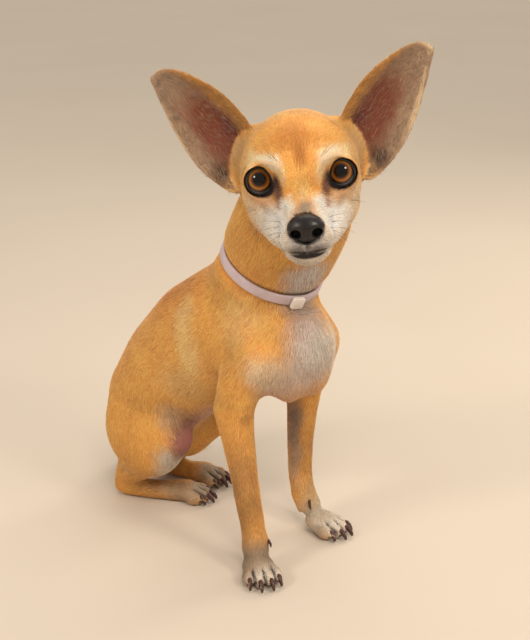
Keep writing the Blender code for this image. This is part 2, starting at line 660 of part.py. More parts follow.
def main():
    forms = trunk_forms() + head_forms()
    for side in SIDES:
        forms += leg_forms(side) + paw_forms("fore", side) + paw_forms("hind", side)
    flesh = fused("flesh", forms)
    paw_tests = {key: near_paw(*key) for key in PAWS}
    body_test = lambda p: not near_head(p) and not any(test(p) for test in paw_tests.values())
    smoothed(flesh, body_test, 30)
    smoothed(flesh, near_head, 10)
    smoothed(flesh, behind_face, 40)
    smoothed(flesh, lambda p: not body_test(p) and not near_head(p), 2)
    melted(flesh)
    split = flesh.modifiers.new("Triangles", "TRIANGULATE")
    split.min_vertices = 4
    applied(flesh)
    thinned(flesh, body_test, BODY_TRIANGLES)
    thinned(flesh, near_head, HEAD_TRIANGLES)
    for test in paw_tests.values():
        thinned(flesh, test, PAW_TRIANGLES)
    combine(flesh, [box("under the floor", (0, 60, -50), (400, 400, 50))], "DIFFERENCE")
    combine(flesh, [collar_seat()], "DIFFERENCE")
    keep_shell(flesh)

    legs = {}
    for side in SIDES:
        for kind, space in (("fore", fore_space), ("hind", hind_space)):
            legs[kind, side] = taken(flesh, kind + "leg_" + side, space(side), space(side, GAP))

    cuts = [slab("cut", HEAD_CUT, 90, HEAD), slab("cut", NECK_CUT, 78), slab("cut", TAIL_CUT, 17)]
    combine(flesh, cuts, "DIFFERENCE")
    seeds = {"head": HEAD @ (Vector((0, 5, 0)) * MM), "neck": BODY @ (Vector((-2, 20, 225)) * MM),
             "torso": BODY @ (Vector((-8, 80, 120)) * MM), "tail": BODY @ (Vector((30, 200, 10)) * MM)}
    nodes = {name: keep_shell(copy_of(flesh, name), seed) for name, seed in seeds.items()}
    bpy.data.objects.remove(flesh)

    for (kind, side), leg in legs.items():
        frame = paw_frame(kind, side)
        paw_middle = frame @ (Vector((0, -4, 8)) * MM)
        if kind == "fore":
            cut = box("cut", (0, 0, WRIST_HEIGHT), (40, 40, GAP / 2), frame)
            leg_middle = frame @ (Vector((0, 10, 80)) * MM)
        else:
            cut = box("cut", (0, -ANKLE_FORWARD, 5), (22, GAP / 2, 14), frame)
            leg_middle = frame @ (Vector((0, 45, 40)) * MM)
        combine(leg, [cut], "DIFFERENCE")
        paw = keep_shell(copy_of(leg, kind + "paw_" + side), paw_middle)
        keep_shell(leg, leg_middle)
        combine(paw, claws(kind, side), "UNION")
        keep_shell(paw)
        nodes[paw.name], nodes[leg.name] = paw, leg

    face_details(nodes["head"])
    nodes["nose"] = nose()
    for side, sign in SIDES.items():
        eye, flap = eyeball("eye_" + side, sign), ear("ear_" + side, sign)
        combine(flap, [copy_of(nodes["head"], "head outside", GAP)], "DIFFERENCE")
        nodes[eye.name], nodes[flap.name] = eye, keep_shell(flap)
    nodes["collar_band"] = collar("collar_band")
    nodes["collar_slide"] = slide("collar_slide")

    coat = material("fawn coat", FAWN, 0.8)
    kinds = {
        "paw": material("cream coat", CREAM, 0.8), "ear": material("ear skin", EAR_SKIN, 0.7),
        "nose": material("nose leather", NOSE_LEATHER, 0.35), "eye": material("eye", EYE_BROWN, 0.05),
        "band": material("collar leather", COLLAR_MAUVE, 0.6), "slide": material("slide", SLIDE_CREAM, 0.4),
    }
    for name, node in nodes.items():
        node.data.materials.clear()
        kind = next((k for k in kinds if k in name), None)
        node.data.materials.append(kinds.get(kind, coat))


clear_scene()
DOG = bpy.data.collections.new("chihuahua")
bpy.context.scene.collection.children.link(DOG)
main()
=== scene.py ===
import math

import bmesh
import bpy
import numpy as np
from mathutils import Matrix, Vector
from mathutils.bvhtree import BVHTree


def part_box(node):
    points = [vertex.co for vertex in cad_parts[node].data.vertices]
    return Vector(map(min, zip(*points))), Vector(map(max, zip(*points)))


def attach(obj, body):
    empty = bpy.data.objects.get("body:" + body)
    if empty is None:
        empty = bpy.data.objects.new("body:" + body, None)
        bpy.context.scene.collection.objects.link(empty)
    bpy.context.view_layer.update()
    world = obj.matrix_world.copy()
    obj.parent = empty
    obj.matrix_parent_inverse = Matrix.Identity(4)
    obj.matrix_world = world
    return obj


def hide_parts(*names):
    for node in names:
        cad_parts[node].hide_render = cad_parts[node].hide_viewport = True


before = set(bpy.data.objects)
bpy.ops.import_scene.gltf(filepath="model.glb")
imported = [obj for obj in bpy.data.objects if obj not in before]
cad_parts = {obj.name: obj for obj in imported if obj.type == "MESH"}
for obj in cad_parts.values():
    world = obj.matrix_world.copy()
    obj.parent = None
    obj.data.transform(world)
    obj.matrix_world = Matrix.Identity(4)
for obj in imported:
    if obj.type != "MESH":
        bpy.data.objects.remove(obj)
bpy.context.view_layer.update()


# Flesh. A small adult dog sits upright with its head turned to its right. One closed skin takes
# the place of every node of flesh. It is melted from them, drawn in by the depth of the coat, and
# then gets the folds, lids and lips that the plain solids lack. Sizes are in millimetres.

MM = 0.001
SIDES = {"right": -1, "left": 1}
LIMBS = [part + "_" + side for part in ("foreleg", "forepaw", "hindleg", "hindpaw") for side in SIDES]
FLESH = ["torso", "neck", "head", "tail", *LIMBS, "ear_right", "ear_left"]
SWELL = 0.45
SKIN_VOXEL = 1.3


def middle(node):
    """The middle of a node's box, in millimetres."""
    low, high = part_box(node)
    return (low + high) / 2 / MM


# The head's own frame has X towards its left ear, Y backwards and Z up, from between the eyes.
EYE_SET_BACK = 3.0
across = (middle("eye_left") - middle("eye_right")).normalized()
backwards = Vector((0, 0, 1)).cross(across).normalized()
upwards = across.cross(backwards)
head_middle = (middle("eye_left") + middle("eye_right")) / 2 - backwards * EYE_SET_BACK
HEAD = Matrix.Translation(head_middle) @ Matrix((across, backwards, upwards)).transposed().to_4x4()
BODY = Matrix.Identity(4)


def placed(points, place):
    """Points of a frame, in the row's frame."""
    place = np.array(place)
    return np.asarray(points, float) @ place[:3, :3].T + place[:3, 3]


def seen_from(points, place):
    """Points of the row's frame, in another frame."""
    place = np.array(place)
    return (points - place[:3, 3]) @ place[:3, :3]


def unit(vectors):
    """Vectors of length one."""
    return vectors / np.maximum(np.linalg.norm(vectors, axis=1, keepdims=True), 1e-9)


def read(mesh, collection, name, width, kind=float):
    """One attribute of a mesh's vertices, edges or faces as rows."""
    items = getattr(mesh, collection)
    values = np.zeros(len(items) * width, kind)
    items.foreach_get(name, values)
    return values.reshape(-1, width) if width > 1 else values


def new_object(name, mesh):
    """An object in the scene for a mesh."""
    made = bpy.data.objects.new(name, mesh)
    bpy.context.scene.collection.objects.link(made)
    return made


def from_bmesh(name, bm, smooth=True):
    """An object from a bmesh, with its faces pointing outwards."""
    bmesh.ops.recalc_face_normals(bm, faces=bm.faces)
    mesh = bpy.data.meshes.new(name)
    bm.to_mesh(mesh)
    bm.free()
    mesh.shade_smooth() if smooth else None
    return new_object(name, mesh)


def baked(obj):
    """Applies an object's modifiers to its mesh."""
    graph = bpy.context.evaluated_depsgraph_get()
    mesh = bpy.data.meshes.new_from_object(obj.evaluated_get(graph))
    obj.modifiers.clear()
    obj.data = mesh
    return obj


def largest_piece(obj):
    """Drops crumbs of a mesh, such as the tips of claws, and keeps its largest piece."""
    bm = bmesh.new()
    bm.from_mesh(obj.data)
    seen, pieces = set(), []
    for vert in bm.verts:
        if vert in seen:
            continue
        seen.add(vert)
        piece = [vert]
        for member in piece:
            for edge in member.link_edges:
                other = edge.other_vert(member)
                if other not in seen:
                    seen.add(other)
                    piece.append(other)
        pieces.append(piece)
    pieces.sort(key=len)
    bmesh.ops.delete(bm, geom=[vert for piece in pieces[:-1] for vert in piece], context="VERTS")
    bm.to_mesh(obj.data)
    bm.free()
    return obj


def melted_flesh():
    """The flesh nodes, each swollen until it meets the next, as one closed surface."""
    whole = bmesh.new()
    for name in FLESH:
        part = bmesh.new()
        part.from_mesh(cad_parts[name].data)
        bmesh.ops.remove_doubles(part, verts=part.verts, dist=0.01 * MM)
        part.normal_update()
        for vert in part.verts:
            vert.co += vert.normal * SWELL * MM
        carrier = bpy.data.meshes.new("carrier")
        part.to_mesh(carrier)
        part.free()
        whole.from_mesh(carrier)
        bpy.data.meshes.remove(carrier)
    skin = from_bmesh("skin", whole)
    melt = skin.modifiers.new("Melt", "REMESH")
    melt.mode = "VOXEL"
    melt.voxel_size = SKIN_VOXEL * MM
    return largest_piece(baked(skin))


def node_finder():
    """A function that tells which flesh node each point belongs to, by its number in FLESH."""
    corners, faces, owner = [], [], []
    for number, name in enumerate(FLESH):
        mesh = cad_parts[name].data
        start = len(corners)
        corners.extend(v.co / MM for v in mesh.vertices)
        for face in mesh.polygons:
            faces.append([start + i for i in face.vertices])
            owner.append(number)
    tree = BVHTree.FromPolygons(corners, faces)
    return lambda points: np.array([owner[tree.find_nearest(p)[2]] for p in points])


def neighbour_mean(values, edges):
    """For each vertex, the mean of its neighbours' values."""
    count = len(values)
    first, second = edges[:, 0], edges[:, 1]
    degree = np.bincount(edges.ravel(), minlength=count)
    columns = []
    for column in values.reshape(count, -1).T:
        total = np.bincount(first, column[second], count) + np.bincount(second, column[first], count)
        columns.append(total / np.maximum(degree, 1))
    return np.stack(columns, 1).reshape(values.shape)


def relaxed(points, edges, share, rounds):
    """Smooths points without shrinking the form, by pulling in and pushing out in turn."""
    for _ in range(rounds):
        for pull in (0.5, -0.53):
            points = points + share[:, None] * pull * (neighbour_mean(points, edges) - points)
    return points


def spread(values, edges, rounds):
    """Softens the change of a value from part to part."""
    for _ in range(rounds):
        values = 0.5 * values + 0.5 * neighbour_mean(values, edges)
    return values


def inside_ball(points, centre, radii):
    """From 1 at the centre of an oval to 0 at its edge and beyond."""
    distance = np.linalg.norm((points - np.array(centre)) / np.array(radii), axis=1)
    falloff = np.clip(1 - distance, 0, 1)
    return falloff * falloff * (3 - 2 * falloff)


def line_distance(points, line):
    """How far each point lies from a line of straight runs."""
    best = np.full(len(points), np.inf)
    line = np.asarray(line, float)
    for start, end in zip(line, line[1:]):
        run = end - start
        along = np.clip((points - start) @ run / (run @ run), 0, 1)
        best = np.minimum(best, np.linalg.norm(points - start - along[:, None] * run, axis=1))
    return best


def flip(point, sign):
    """A point on one side of the head, or its mirror image."""
    return (point[0] * sign, point[1], point[2])


skin = melted_flesh()
find_nodes = node_finder()
SMOOTHING = {"paw": 5, "ear": 7, "head": 10, "": 26}


def by_node(settings, owners):
    """A value for each vertex, from the first key that its node's name holds."""
    table = [next(v for k, v in settings.items() if k in name) for name in FLESH]
    return np.array(table, float)[owners]


def set_points(mesh, points):
    """Moves a mesh's vertices to points in millimetres."""
    mesh.vertices.foreach_set("co", (points * MM).ravel())
    mesh.update()


points = read(skin.data, "vertices", "co", 3) / MM
edges = read(skin.data, "edges", "vertices", 2, np.int32)
owners = find_nodes(points)
rounds = spread(by_node(SMOOTHING, owners), edges, 4)
for step in range(0, 26, 2):
    points = relaxed(points, edges, (rounds > step).astype(float), 2)
set_points(skin.data, points)

# The body's large forms are rounded, and so are the places where a leg, the neck or the tail joins.
# What the pulling in takes off is measured, softened and put back.
BROAD_ROUNDS, JOINT_ROUNDS = 110, 60
BROAD = {"torso": 1.0, "neck": 0.6, "hindleg": 0.35, "": 0.0}


def rounded(points, edges, share, rounds):
    """Smooths large forms: pulls in for many rounds, then pushes out by the softened loss."""
    smooth = points
    for _ in range(rounds):
        smooth = smooth + share[:, None] * 0.5 * (neighbour_mean(smooth, edges) - smooth)
    set_points(skin.data, smooth)
    outwards = read(skin.data, "vertices", "normal", 3)
    loss = np.sum((points - smooth) * outwards, axis=1)
    return smooth + outwards * spread(loss, edges, rounds)[:, None]


def joint_share():
    """From 1 where two nodes of the body meet to 0 away from there."""
    border = (owners[edges[:, 0]] != owners[edges[:, 1]]).astype(float)
    at_joint = np.zeros(len(points))
    np.maximum.at(at_joint, edges[:, 0], border)
    np.maximum.at(at_joint, edges[:, 1], border)
    bodily = spread(by_node({"ear": 0.0, "head": 0.0, "": 1.0}, owners), edges, 6)
    return np.clip(spread(at_joint, edges, 14) * 4, 0, 1) * bodily


points = rounded(points, edges, spread(by_node(BROAD, owners), edges, 30), BROAD_ROUNDS)
points = rounded(points, edges, joint_share(), JOINT_ROUNDS)
# The wrists flow from the leg into the paw.
WRISTS = [(-36, -66, 31), (44, -43, 31)]
wrist_share = np.clip(sum(inside_ball(points, spot, (20, 22, 15)) for spot in WRISTS) * 2, 0, 1)
for _ in range(70):
    points = points + wrist_share[:, None] * 0.5 * (neighbour_mean(points, edges) - points)
set_points(skin.data, points)

# The face and paws get faces half as large.
fine = bmesh.new()
fine.from_mesh(skin.data)
fine.verts.ensure_lookup_table()
in_head = seen_from(points, HEAD)
is_face = (in_head[:, 1] < 22) & (in_head[:, 2] > -56) & (np.abs(in_head[:, 0]) < 44) & (in_head[:, 2] < 42)
is_face &= np.isin(owners, [FLESH.index("head"), FLESH.index("neck")])
is_face |= np.isin(owners, [FLESH.index(name) for name in FLESH if "paw" in name])
face_edges = [e for e in fine.edges if is_face[e.verts[0].index] and is_face[e.verts[1].index]]
bmesh.ops.subdivide_edges(fine, edges=face_edges, cuts=1, use_grid_fill=True)
fine.to_mesh(skin.data)
fine.free()
points = read(skin.data, "vertices", "co", 3) / MM
edges = read(skin.data, "edges", "vertices", 2, np.int32)
owners = find_nodes(points)
in_head = seen_from(points, HEAD)
face_share = inside_ball(in_head, (0, -25, -8), (52, 62, 62)) > 0.02
points = relaxed(points, edges, face_share * 0.9, 9)
is_paw = np.isin(owners, [FLESH.index(name) for name in FLESH if "paw" in name])
points = relaxed(points, edges, is_paw * 0.8, 4)
# The fold where each ear grows from the skull is filled by its fur.
ear_fold = np.maximum(*[inside_ball(in_head, (sign * 36, 24, 14), (18, 26, 44)) for sign in SIDES.values()])
for _ in range(50):
    points = points + np.clip(ear_fold * 2, 0, 1)[:, None] * 0.5 * (neighbour_mean(points, edges) - points)
set_points(skin.data, points)

# The coat's depth on each part, which the skin lies below the solids.
COAT_DEPTH = {"torso": 1.5, "neck": 1.7, "tail": 1.2, "leg": 0.9, "paw": 0.7, "ear": 0.55, "head": 0.75}
depth = spread(by_node(COAT_DEPTH, owners), edges, 8)
normals = read(skin.data, "vertices", "normal", 3)
points = points - normals * (depth + SWELL)[:, None]
set_points(skin.data, points)

# Folds and soft forms: frame, middle, half sizes, and how far the skin moves out. An entry with
# "both" is made on each side of the head.
FORMS = [
    (HEAD, (12.0, -20.0, 13.5), (8, 8, 7), 1.0, "both"),
    (HEAD, (0.0, -20.0, 16.0), (4.5, 9, 15), -0.9, "one"),
    (HEAD, (13.5, -22.0, -6.5), (3.0, 6, 9), -0.9, "both"),
    (HEAD, (22.0, -13.0, -14.5), (11, 9, 4.5), 0.8, "both"),
    (HEAD, (0.0, -33.0, -8.0), (5, 11, 6), 0.5, "one"),
    (HEAD, (12.5, -38.0, -27.0), (8, 9, 8), 1.0, "both"),
    (HEAD, (0.0, -46.5, -35.0), (1.6, 6, 5), -0.9, "one"),
    (HEAD, (7.5, -44.0, -34.0), (6, 6, 4), 0.7, "both"),
    (HEAD, (0.0, -45.0, -40.5), (9, 6, 3.4), 0.9, "one"),
    (BODY, (-37, -62, 113), (13, 12, 11), 0.9, "one"),
    (BODY, (-20, 22, 76), (13, 12, 15), 1.4, "one"),
]
for place, centre, radii, out, mirrored in FORMS:
    for sign in SIDES.values() if mirrored == "both" else (1,):
        weight = inside_ball(seen_from(points, place), flip(centre, sign), np.array(radii) * 1.5)
        points = points + normals * (weight * out)[:, None]

# The mouth: a groove between the lips, from under the nose back to below the eyes, seen from the
# front up to the corners and from the side behind them.
MOUTH_FRONT = [(0, -37.2), (5, -36.8), (10, -36.6), (14, -37.6)]
MOUTH_SIDE = [(-44, -37.4), (-34, -38.4), (-20, -39.6)]
LIP_GROOVE = 1.5
in_head = seen_from(points, HEAD)
front_view = np.stack([np.abs(in_head[:, 0]), in_head[:, 2]], 1)
front_gap = np.where(in_head[:, 1] < -34, line_distance(front_view, MOUTH_FRONT), np.inf)
front_gap = front_gap + np.clip((front_view[:, 0] - 11) / 3, 0, 9)
side_gap = np.where(np.abs(in_head[:, 0]) > 8, line_distance(in_head[:, 1:], MOUTH_SIDE) + 0.7, np.inf)
lip_distance = np.minimum(front_gap, side_gap)
points = points - normals * (LIP_GROOVE * np.exp(-((lip_distance / 1.0) ** 2)))[:, None]

# Each eyeball shows through an oval opening. The skin is drawn back from it under the rim of the
# lids, and lies on the ball around it.
EYE_RADIUS = 10.2
EYE_TURN = 5.0
LID_HALF = (6.9, 8.5)
LID_THICKNESS = 0.5
# The skin never stands farther forward than a funnel about the opening, with this slope.
FUNNEL_SLOPE = 1.5
HOLE_RING = 1.07
eye_ring = np.full(len(points), 9.0)
eye_frames = {}
for side, sign in SIDES.items():
    turn = Matrix.Rotation(math.radians(EYE_TURN * sign), 4, "Z")
    eye_frames[side] = Matrix.Translation(middle("eye_" + side)) @ HEAD.to_3x3().to_4x4() @ turn
    spots = seen_from(points, eye_frames[side])
    ring = np.hypot(spots[:, 0] / LID_HALF[0], spots[:, 2] / LID_HALF[1])
    near = (spots[:, 1] < -1) & (ring < 3)
    opened = np.where(near & (ring < HOLE_RING), HOLE_RING / np.maximum(ring, 1e-3), 1)
    spots[:, [0, 2]] *= opened[:, None]
    ring = ring * opened
    reach = np.hypot(spots[:, 0], spots[:, 2])
    edge = reach / np.maximum(ring, 1e-3) * HOLE_RING
    seat = -np.sqrt(np.maximum((EYE_RADIUS + LID_THICKNESS) ** 2 - edge ** 2, 9))
    funnel = seat - FUNNEL_SLOPE * (reach - edge)
    spots[:, 1] = np.where(near, np.maximum(spots[:, 1], funnel), spots[:, 1])
    around = near & (ring > HOLE_RING + 0.02) & (ring < 2.6)
    soft = spots
    for _ in range(12):
        soft = soft + (around * 0.5)[:, None] * (neighbour_mean(soft, edges) - soft)
    distance = np.linalg.norm(soft, axis=1)
    soft = soft * (np.maximum(distance, EYE_RADIUS + 0.3) / distance)[:, None]
    points = placed(soft, eye_frames[side])
    # The black skin round the lids reaches out at the inner corner.
    inner = np.clip(-sign * spots[:, 0] / reach * 0.88 - spots[:, 2] / reach * 0.47, 0, 1) ** 4
    # Skin that the ball pushes out at the temple, behind the lids, keeps its hair.
    behind = np.clip((spots[:, 1] + 5.0) / 2.0, 0, 1) * (opened == 1)
    eye_ring = np.minimum(eye_ring, np.where(near, ring * (1 - 0.22 * inner) + 0.6 * behind, 9.0))

# Paws: where each stands, which way it points, and its width against a forepaw. Toes are parted
# by grooves.
PAWS = {
    "forepaw_right": ((-38.4, -79.4), -24.0, 1.0),
    "forepaw_left": ((44.6, -54.4), 14.0, 1.0),
    "hindpaw_right": ((1.1, 54.6), 36.0, 0.86),
    "hindpaw_left": ((32.1, 71.6), 20.0, 0.86),
}
# Each toe: across, forward, turn outwards in degrees, length.
TOES = [(-10.2, 6.5, -9, 8.2), (-3.9, 10.5, -3, 9.2), (3.9, 10.5, 3, 9.2), (10.2, 6.5, 9, 8.2)]
TOE_GROOVES = [(-7.1, -7, -4), (0.0, -10, 0), (7.1, -7, 4)]
GROOVE_DEPTH, TOE_HALF = 2.9, 3.4
toe_gap = np.full(len(points), 9.0)
for paw, (spot, heading, width) in PAWS.items():
    place = Matrix.Translation((*spot, 0)) @ Matrix.Rotation(math.radians(heading), 4, "Z")
    spots = seen_from(points, place)
    mine = (owners == FLESH.index(paw)) & (spots[:, 2] > 0.8)
    for middle_x, start, lean in TOE_GROOVES:
        line = middle_x * width + (start - spots[:, 1]) * math.tan(math.radians(lean))
        gap = np.abs(spots[:, 0] - line) + np.clip(spots[:, 1] - start, 0, 9) * 0.45
        toe_gap = np.minimum(toe_gap, np.where(mine, gap, 9.0))
toe_round = np.sqrt(np.clip(1 - np.clip(1 - toe_gap / TOE_HALF, 0, 1) ** 2, 0, 1)) - 1
points = points + normals * (GROOVE_DEPTH * toe_round)[:, None]
points[:, 2] = np.maximum(points[:, 2], 0.0)
# Claws come later as pieces of their own, so the skin's own claws are drawn in under them, and the
# skin is bare and dark where they grow.
DEW_ROOT, DEW_END = (7.6, 7.8, 25.4), (11.6, 3.0, 17.0)
claw_gap = np.full(len(points), 9.0)
for paw, (spot, heading, width) in PAWS.items():
    place = Matrix.Translation((*spot, 0)) @ Matrix.Rotation(math.radians(heading), 4, "Z")
    spots = seen_from(points, place)
    for toe_across, forward, splay, length in TOES:
        lean = math.radians(splay)
        start = np.array((toe_across * width, -forward - length + 3.5, 5.0))
        run = np.array((math.sin(lean), -math.cos(lean), -0.5))
        gap = line_distance(spots, [start + run * 4.5, start + run * 13.0])
        along = np.clip((spots - start) @ run / (run @ run), 0, 9)
        core = start + np.minimum(along, 4.5)[:, None] * run
        pull = np.clip((3.2 - gap) / 0.8, 0, 1)[:, None]
        spots = spots * (1 - pull) + (core + (spots - start - along[:, None] * run) * 0.3) * pull
        claw_gap = np.minimum(claw_gap, line_distance(spots, [start + run * 2.5, start + run * 11.0]))
    if paw.startswith("fore"):
        inward = 1 if paw.endswith("right") else -1
        root, end = np.array(flip(DEW_ROOT, inward)), np.array(flip(DEW_END, inward))
        gap = line_distance(spots, [root * 0.6 + end * 0.4, end])
        pull = np.clip((4.0 - gap) / 1.5, 0, 1)[:, None]
        spots = spots * (1 - pull) + (root + (spots - root) * 0.15) * pull
        claw_gap = np.where(gap < 3.2, 0, claw_gap)
    moved = np.linalg.norm(placed(spots, place) - points, axis=1) > 1e-6
    points = np.where(moved[:, None], placed(spots, place), points)
set_points(skin.data, points)
normals = read(skin.data, "vertices", "normal", 3)


# Colours of the coat. The dog is golden fawn, with grey and white on its muzzle, throat, chest and
# feet, as on an ageing dog, and mauve skin where the hair is thin. The same markings colour
# the skin and the tufts, so that no bald spot or seam shows through.

FAWN = "#e5a354"


def linear(colour):
    """The linear values of an sRGB hex colour."""
    values = [int(colour[i:i + 2], 16) / 255 for i in (1, 3, 5)]
    return [v / 12.92 if v <= 0.04045 else ((v + 0.055) / 1.055) ** 2.4 for v in values]


def mottle(points, size, seed):
    """A soft noise from 0 to 1, with patches of about one size."""
    lattice = np.random.default_rng(seed).random((32, 32, 32))
    cells = points / size + 1000
    low = np.floor(cells).astype(int)
    share = cells - low
    share = share * share * (3 - 2 * share)
    total = np.zeros(len(points))
    for corner in np.ndindex(2, 2, 2):
        i, j, k = ((low + corner) % 32).T
        weight = np.prod(np.where(corner, share, 1 - share), axis=1)
        total += lattice[i, j, k] * weight
    return total


# Markings: frame, middle, half sizes, colour, strength, and whether it is on both sides.
MARKINGS = [
    # back, flank and belly
    (BODY, (-5, 40, 190), (60, 80, 60), "#b8702a", 0.7, "one"),
    (BODY, (-20, 90, 120), (50, 50, 60), "#c07c35", 0.5, "one"),
    (BODY, (-36, 2, 172), (11, 14, 32), "#f0bf80", 0.8, "one"),
    (BODY, (-38, -6, 140), (11, 14, 34), "#f0bf80", 0.75, "one"),
    (BODY, (-38, 5, 118), (30, 26, 22), "#d9ad6f", 0.7, "one"),
    (BODY, (0, 20, 90), (34, 70, 30), "#c9a184", 0.8, "one"),
    (BODY, (-52, 45, 80), (18, 34, 34), "#d39a50", 0.6, "one"),
    # chest, throat and the insides of the legs
    (BODY, (5, -72, 194), (24, 24, 22), "#c7b3a4", 1.0, "one"),
    (BODY, (2, -84, 190), (22, 22, 22), "#c2aea0", 1.0, "one"),
    (BODY, (-30, -50, 178), (22, 26, 30), "#eeb676", 0.7, "one"),
    (BODY, (0, -84, 207), (24, 22, 26), "#b7a398", 1.0, "one"),
    (BODY, (-4, -92, 172), (30, 24, 32), "#ae9a8f", 0.85, "one"),
    (BODY, (20, -88, 158), (26, 26, 32), "#d3c8bc", 0.85, "one"),
    (BODY, (-4, -88, 148), (32, 26, 26), "#b9aaa0", 0.85, "one"),
    (BODY, (-28, -74, 148), (20, 20, 20), "#cdbca6", 0.7, "one"),
    (BODY, (-22, -78, 134), (22, 18, 18), "#ac9a8d", 0.75, "one"),
    (BODY, (0, -65, 128), (30, 28, 20), "#c7a290", 0.9, "one"),
    (BODY, (30, -36, 85), (9, 16, 40), "#8b7b6f", 0.9, "one"),
    (BODY, (31, -38, 55), (9, 16, 30), "#a08f80", 0.9, "one"),
    (BODY, (-24, -56, 85), (7, 14, 40), "#928268", 0.8, "one"),
    (BODY, (-35, -61, 114), (9, 8, 9), "#9b7242", 0.6, "one"),
    (BODY, (-40, -66, 62), (18, 26, 62), "#ac7d48", 0.95, "one"),
    (BODY, (44, -38, 60), (16, 26, 62), "#bf8a4c", 0.8, "one"),
    # knee, shank and hind foot
    (BODY, (-34, 26, 86), (16, 18, 22), "#c6a98a", 0.75, "one"),
    (BODY, (-22, 30, 46), (18, 20, 24), "#d8cdbf", 1.0, "one"),
    (BODY, (-34, 28, 50), (17, 20, 20), "#cfc4b6", 1.0, "one"),
    (BODY, (-28, 34, 37), (20, 22, 15), "#cdbfae", 1.0, "one"),
    (BODY, (-25, 19, 68), (20, 19, 34), "#96705f", 0.95, "one"),
    (BODY, (-22, 18, 67), (20, 19, 33), "#8f655c", 1.0, "one"),
    (BODY, (-28, 62, 12), (28, 26, 16), "#9c7a58", 0.9, "one"),
    (BODY, (-10, 45, 12), (22, 34, 20), "#a08a72", 0.9, "one"),
    (BODY, (8, 45, 11), (19, 19, 20), "#a99a88", 1.0, "one"),
    (BODY, (32, 62, 11), (20, 24, 20), "#a89884", 1.0, "one"),
    # forepaws and wrists
    (BODY, (-40, -80, 12), (36, 36, 27), "#8f7c68", 1.0, "one"),
    (BODY, (-41, -95, 6), (30, 22, 15), "#ddd5cc", 0.9, "one"),
    (BODY, (43, -46, 28), (19, 22, 22), "#bd9a6c", 0.9, "one"),
    (BODY, (46, -54, 10), (34, 36, 24), "#bfb3a2", 1.0, "one"),
    (BODY, (49, -66, 7), (26, 24, 15), "#d9d1c7", 0.9, "one"),
    # brow and skull
    (HEAD, (-2, -9, 27), (22, 18, 17), "#bf7c35", 0.7, "one"),
    (HEAD, (0.5, -18, 17), (6, 14, 15), "#a5682c", 0.75, "one"),
    (HEAD, (34, 8, 8), (13, 18, 22), "#e6b478", 0.6, "both"),
    (HEAD, (40, 34, 12), (14, 20, 18), "#e8ba82", 0.6, "both"),
    (HEAD, (30, -3, 13), (9, 14, 6.5), "#efd0a0", 0.8, "both"),
    (HEAD, (23, -9, 14.5), (10, 14, 6), "#f5d9b6", 0.95, "both"),
    (HEAD, (15, -15, 12), (8.5, 14, 8), "#f6dfc6", 1.0, "both"),
    (HEAD, (11.5, -19, 5), (5, 14, 9), "#e8c69a", 0.8, "both"),
    # muzzle and cheeks
    (HEAD, (0, -36, -36), (36, 40, 27), "#d6ccc1", 1.0, "one"),
    (HEAD, (29, 3, -18), (17, 24, 20), "#d9bf9f", 0.9, "both"),
    (HEAD, (22, -14, -24), (20, 24, 19), "#ddd2c5", 1.0, "both"),
    (HEAD, (14, -28, -24), (20, 24, 20), "#eee7df", 1.0, "both"),
    (HEAD, (10, -28, -12), (8, 16, 9), "#e9dfd1", 1.0, "both"),
    (HEAD, (25, -10, -12.5), (12, 14, 6.5), "#cb9d77", 0.85, "both"),
    (HEAD, (0, -22, 0), (10, 14, 12), "#dfa95f", 1.0, "one"),
    (HEAD, (0, -30, -6.5), (6.5, 12, 7), "#d9b079", 1.0, "one"),
    (HEAD, (0.5, -40, -11.5), (10, 12, 6), "#8d8073", 0.9, "one"),
    (HEAD, (0, -46, -33), (21, 18, 10), "#b8b0a8", 0.95, "one"),
    # Under the nose the upper lip is dark grey-brown, deepened by painted shade below the nose pad.
    (HEAD, (0, -47, -35), (15, 18, 7.5), "#453934", 0.9, "one"),
    (HEAD, (0, -38, -47), (22, 20, 8), "#c4b9ae", 1.0, "one"),
    (HEAD, (17, -14, -1.5), (7, 18, 9), "#38231e", 1.0, "both"),
    (HEAD, (14.5, -19, -6), (5, 14, 7), "#5f3c33", 0.9, "both"),
    (HEAD, (14.6, -23.0, -12.5), (2.4, 9, 6), "#7d4c3e", 0.8, "both"),
]


def paint(points, base, marks):
    """Lays each marking over the base colour, with a ragged edge."""
    ragged = points + (mottle(points, 5, 3)[:, None] - 0.5) * 4
    colours = np.tile(np.array(base, float), (len(points), 1)) if np.ndim(base) == 1 else base.copy()
    for place, centre, radii, colour, strength, mirrored in marks:
        for sign in SIDES.values() if mirrored == "both" else (1,):
            share = inside_ball(seen_from(ragged, place), flip(centre, sign), radii)
            share = np.clip(share * 1.45, 0, 1)[:, None] * strength
            colours = colours * (1 - share) + np.array(linear(colour)) * share
    return colours


# The ear's edges in the head's frame, seen from the front, from its root to its tip.
EAR_INNER = [(25, 21), (32, 36.5), (46, 52), (59, 61), (69, 66.5), (78, 69.5), (85, 69), (89, 65.8)]
EAR_OUTER = [(40, -17), (53, -8), (66, 5), (73.5, 19), (79, 32), (83.8, 46), (87.5, 58), (89.4, 65.2)]
EAR_ROOT, EAR_TIP = (32, 2), (89, 66)


def ear_place(points, normals):
    """How far across and up the ear each point lies, and whether it faces into the cup."""
    spots = seen_from(points, HEAD)
    front = np.stack([np.abs(spots[:, 0]), spots[:, 2]], 1)
    inner, outer = line_distance(front, EAR_INNER), line_distance(front, EAR_OUTER)
    run = np.subtract(EAR_TIP, EAR_ROOT)
    height = (front - EAR_ROOT) @ run / (run @ run)
    facing = np.clip(0.5 - 2.5 * (normals @ np.array(HEAD)[:3, 1]), 0, 1)
    return inner / (inner + outer), height, facing


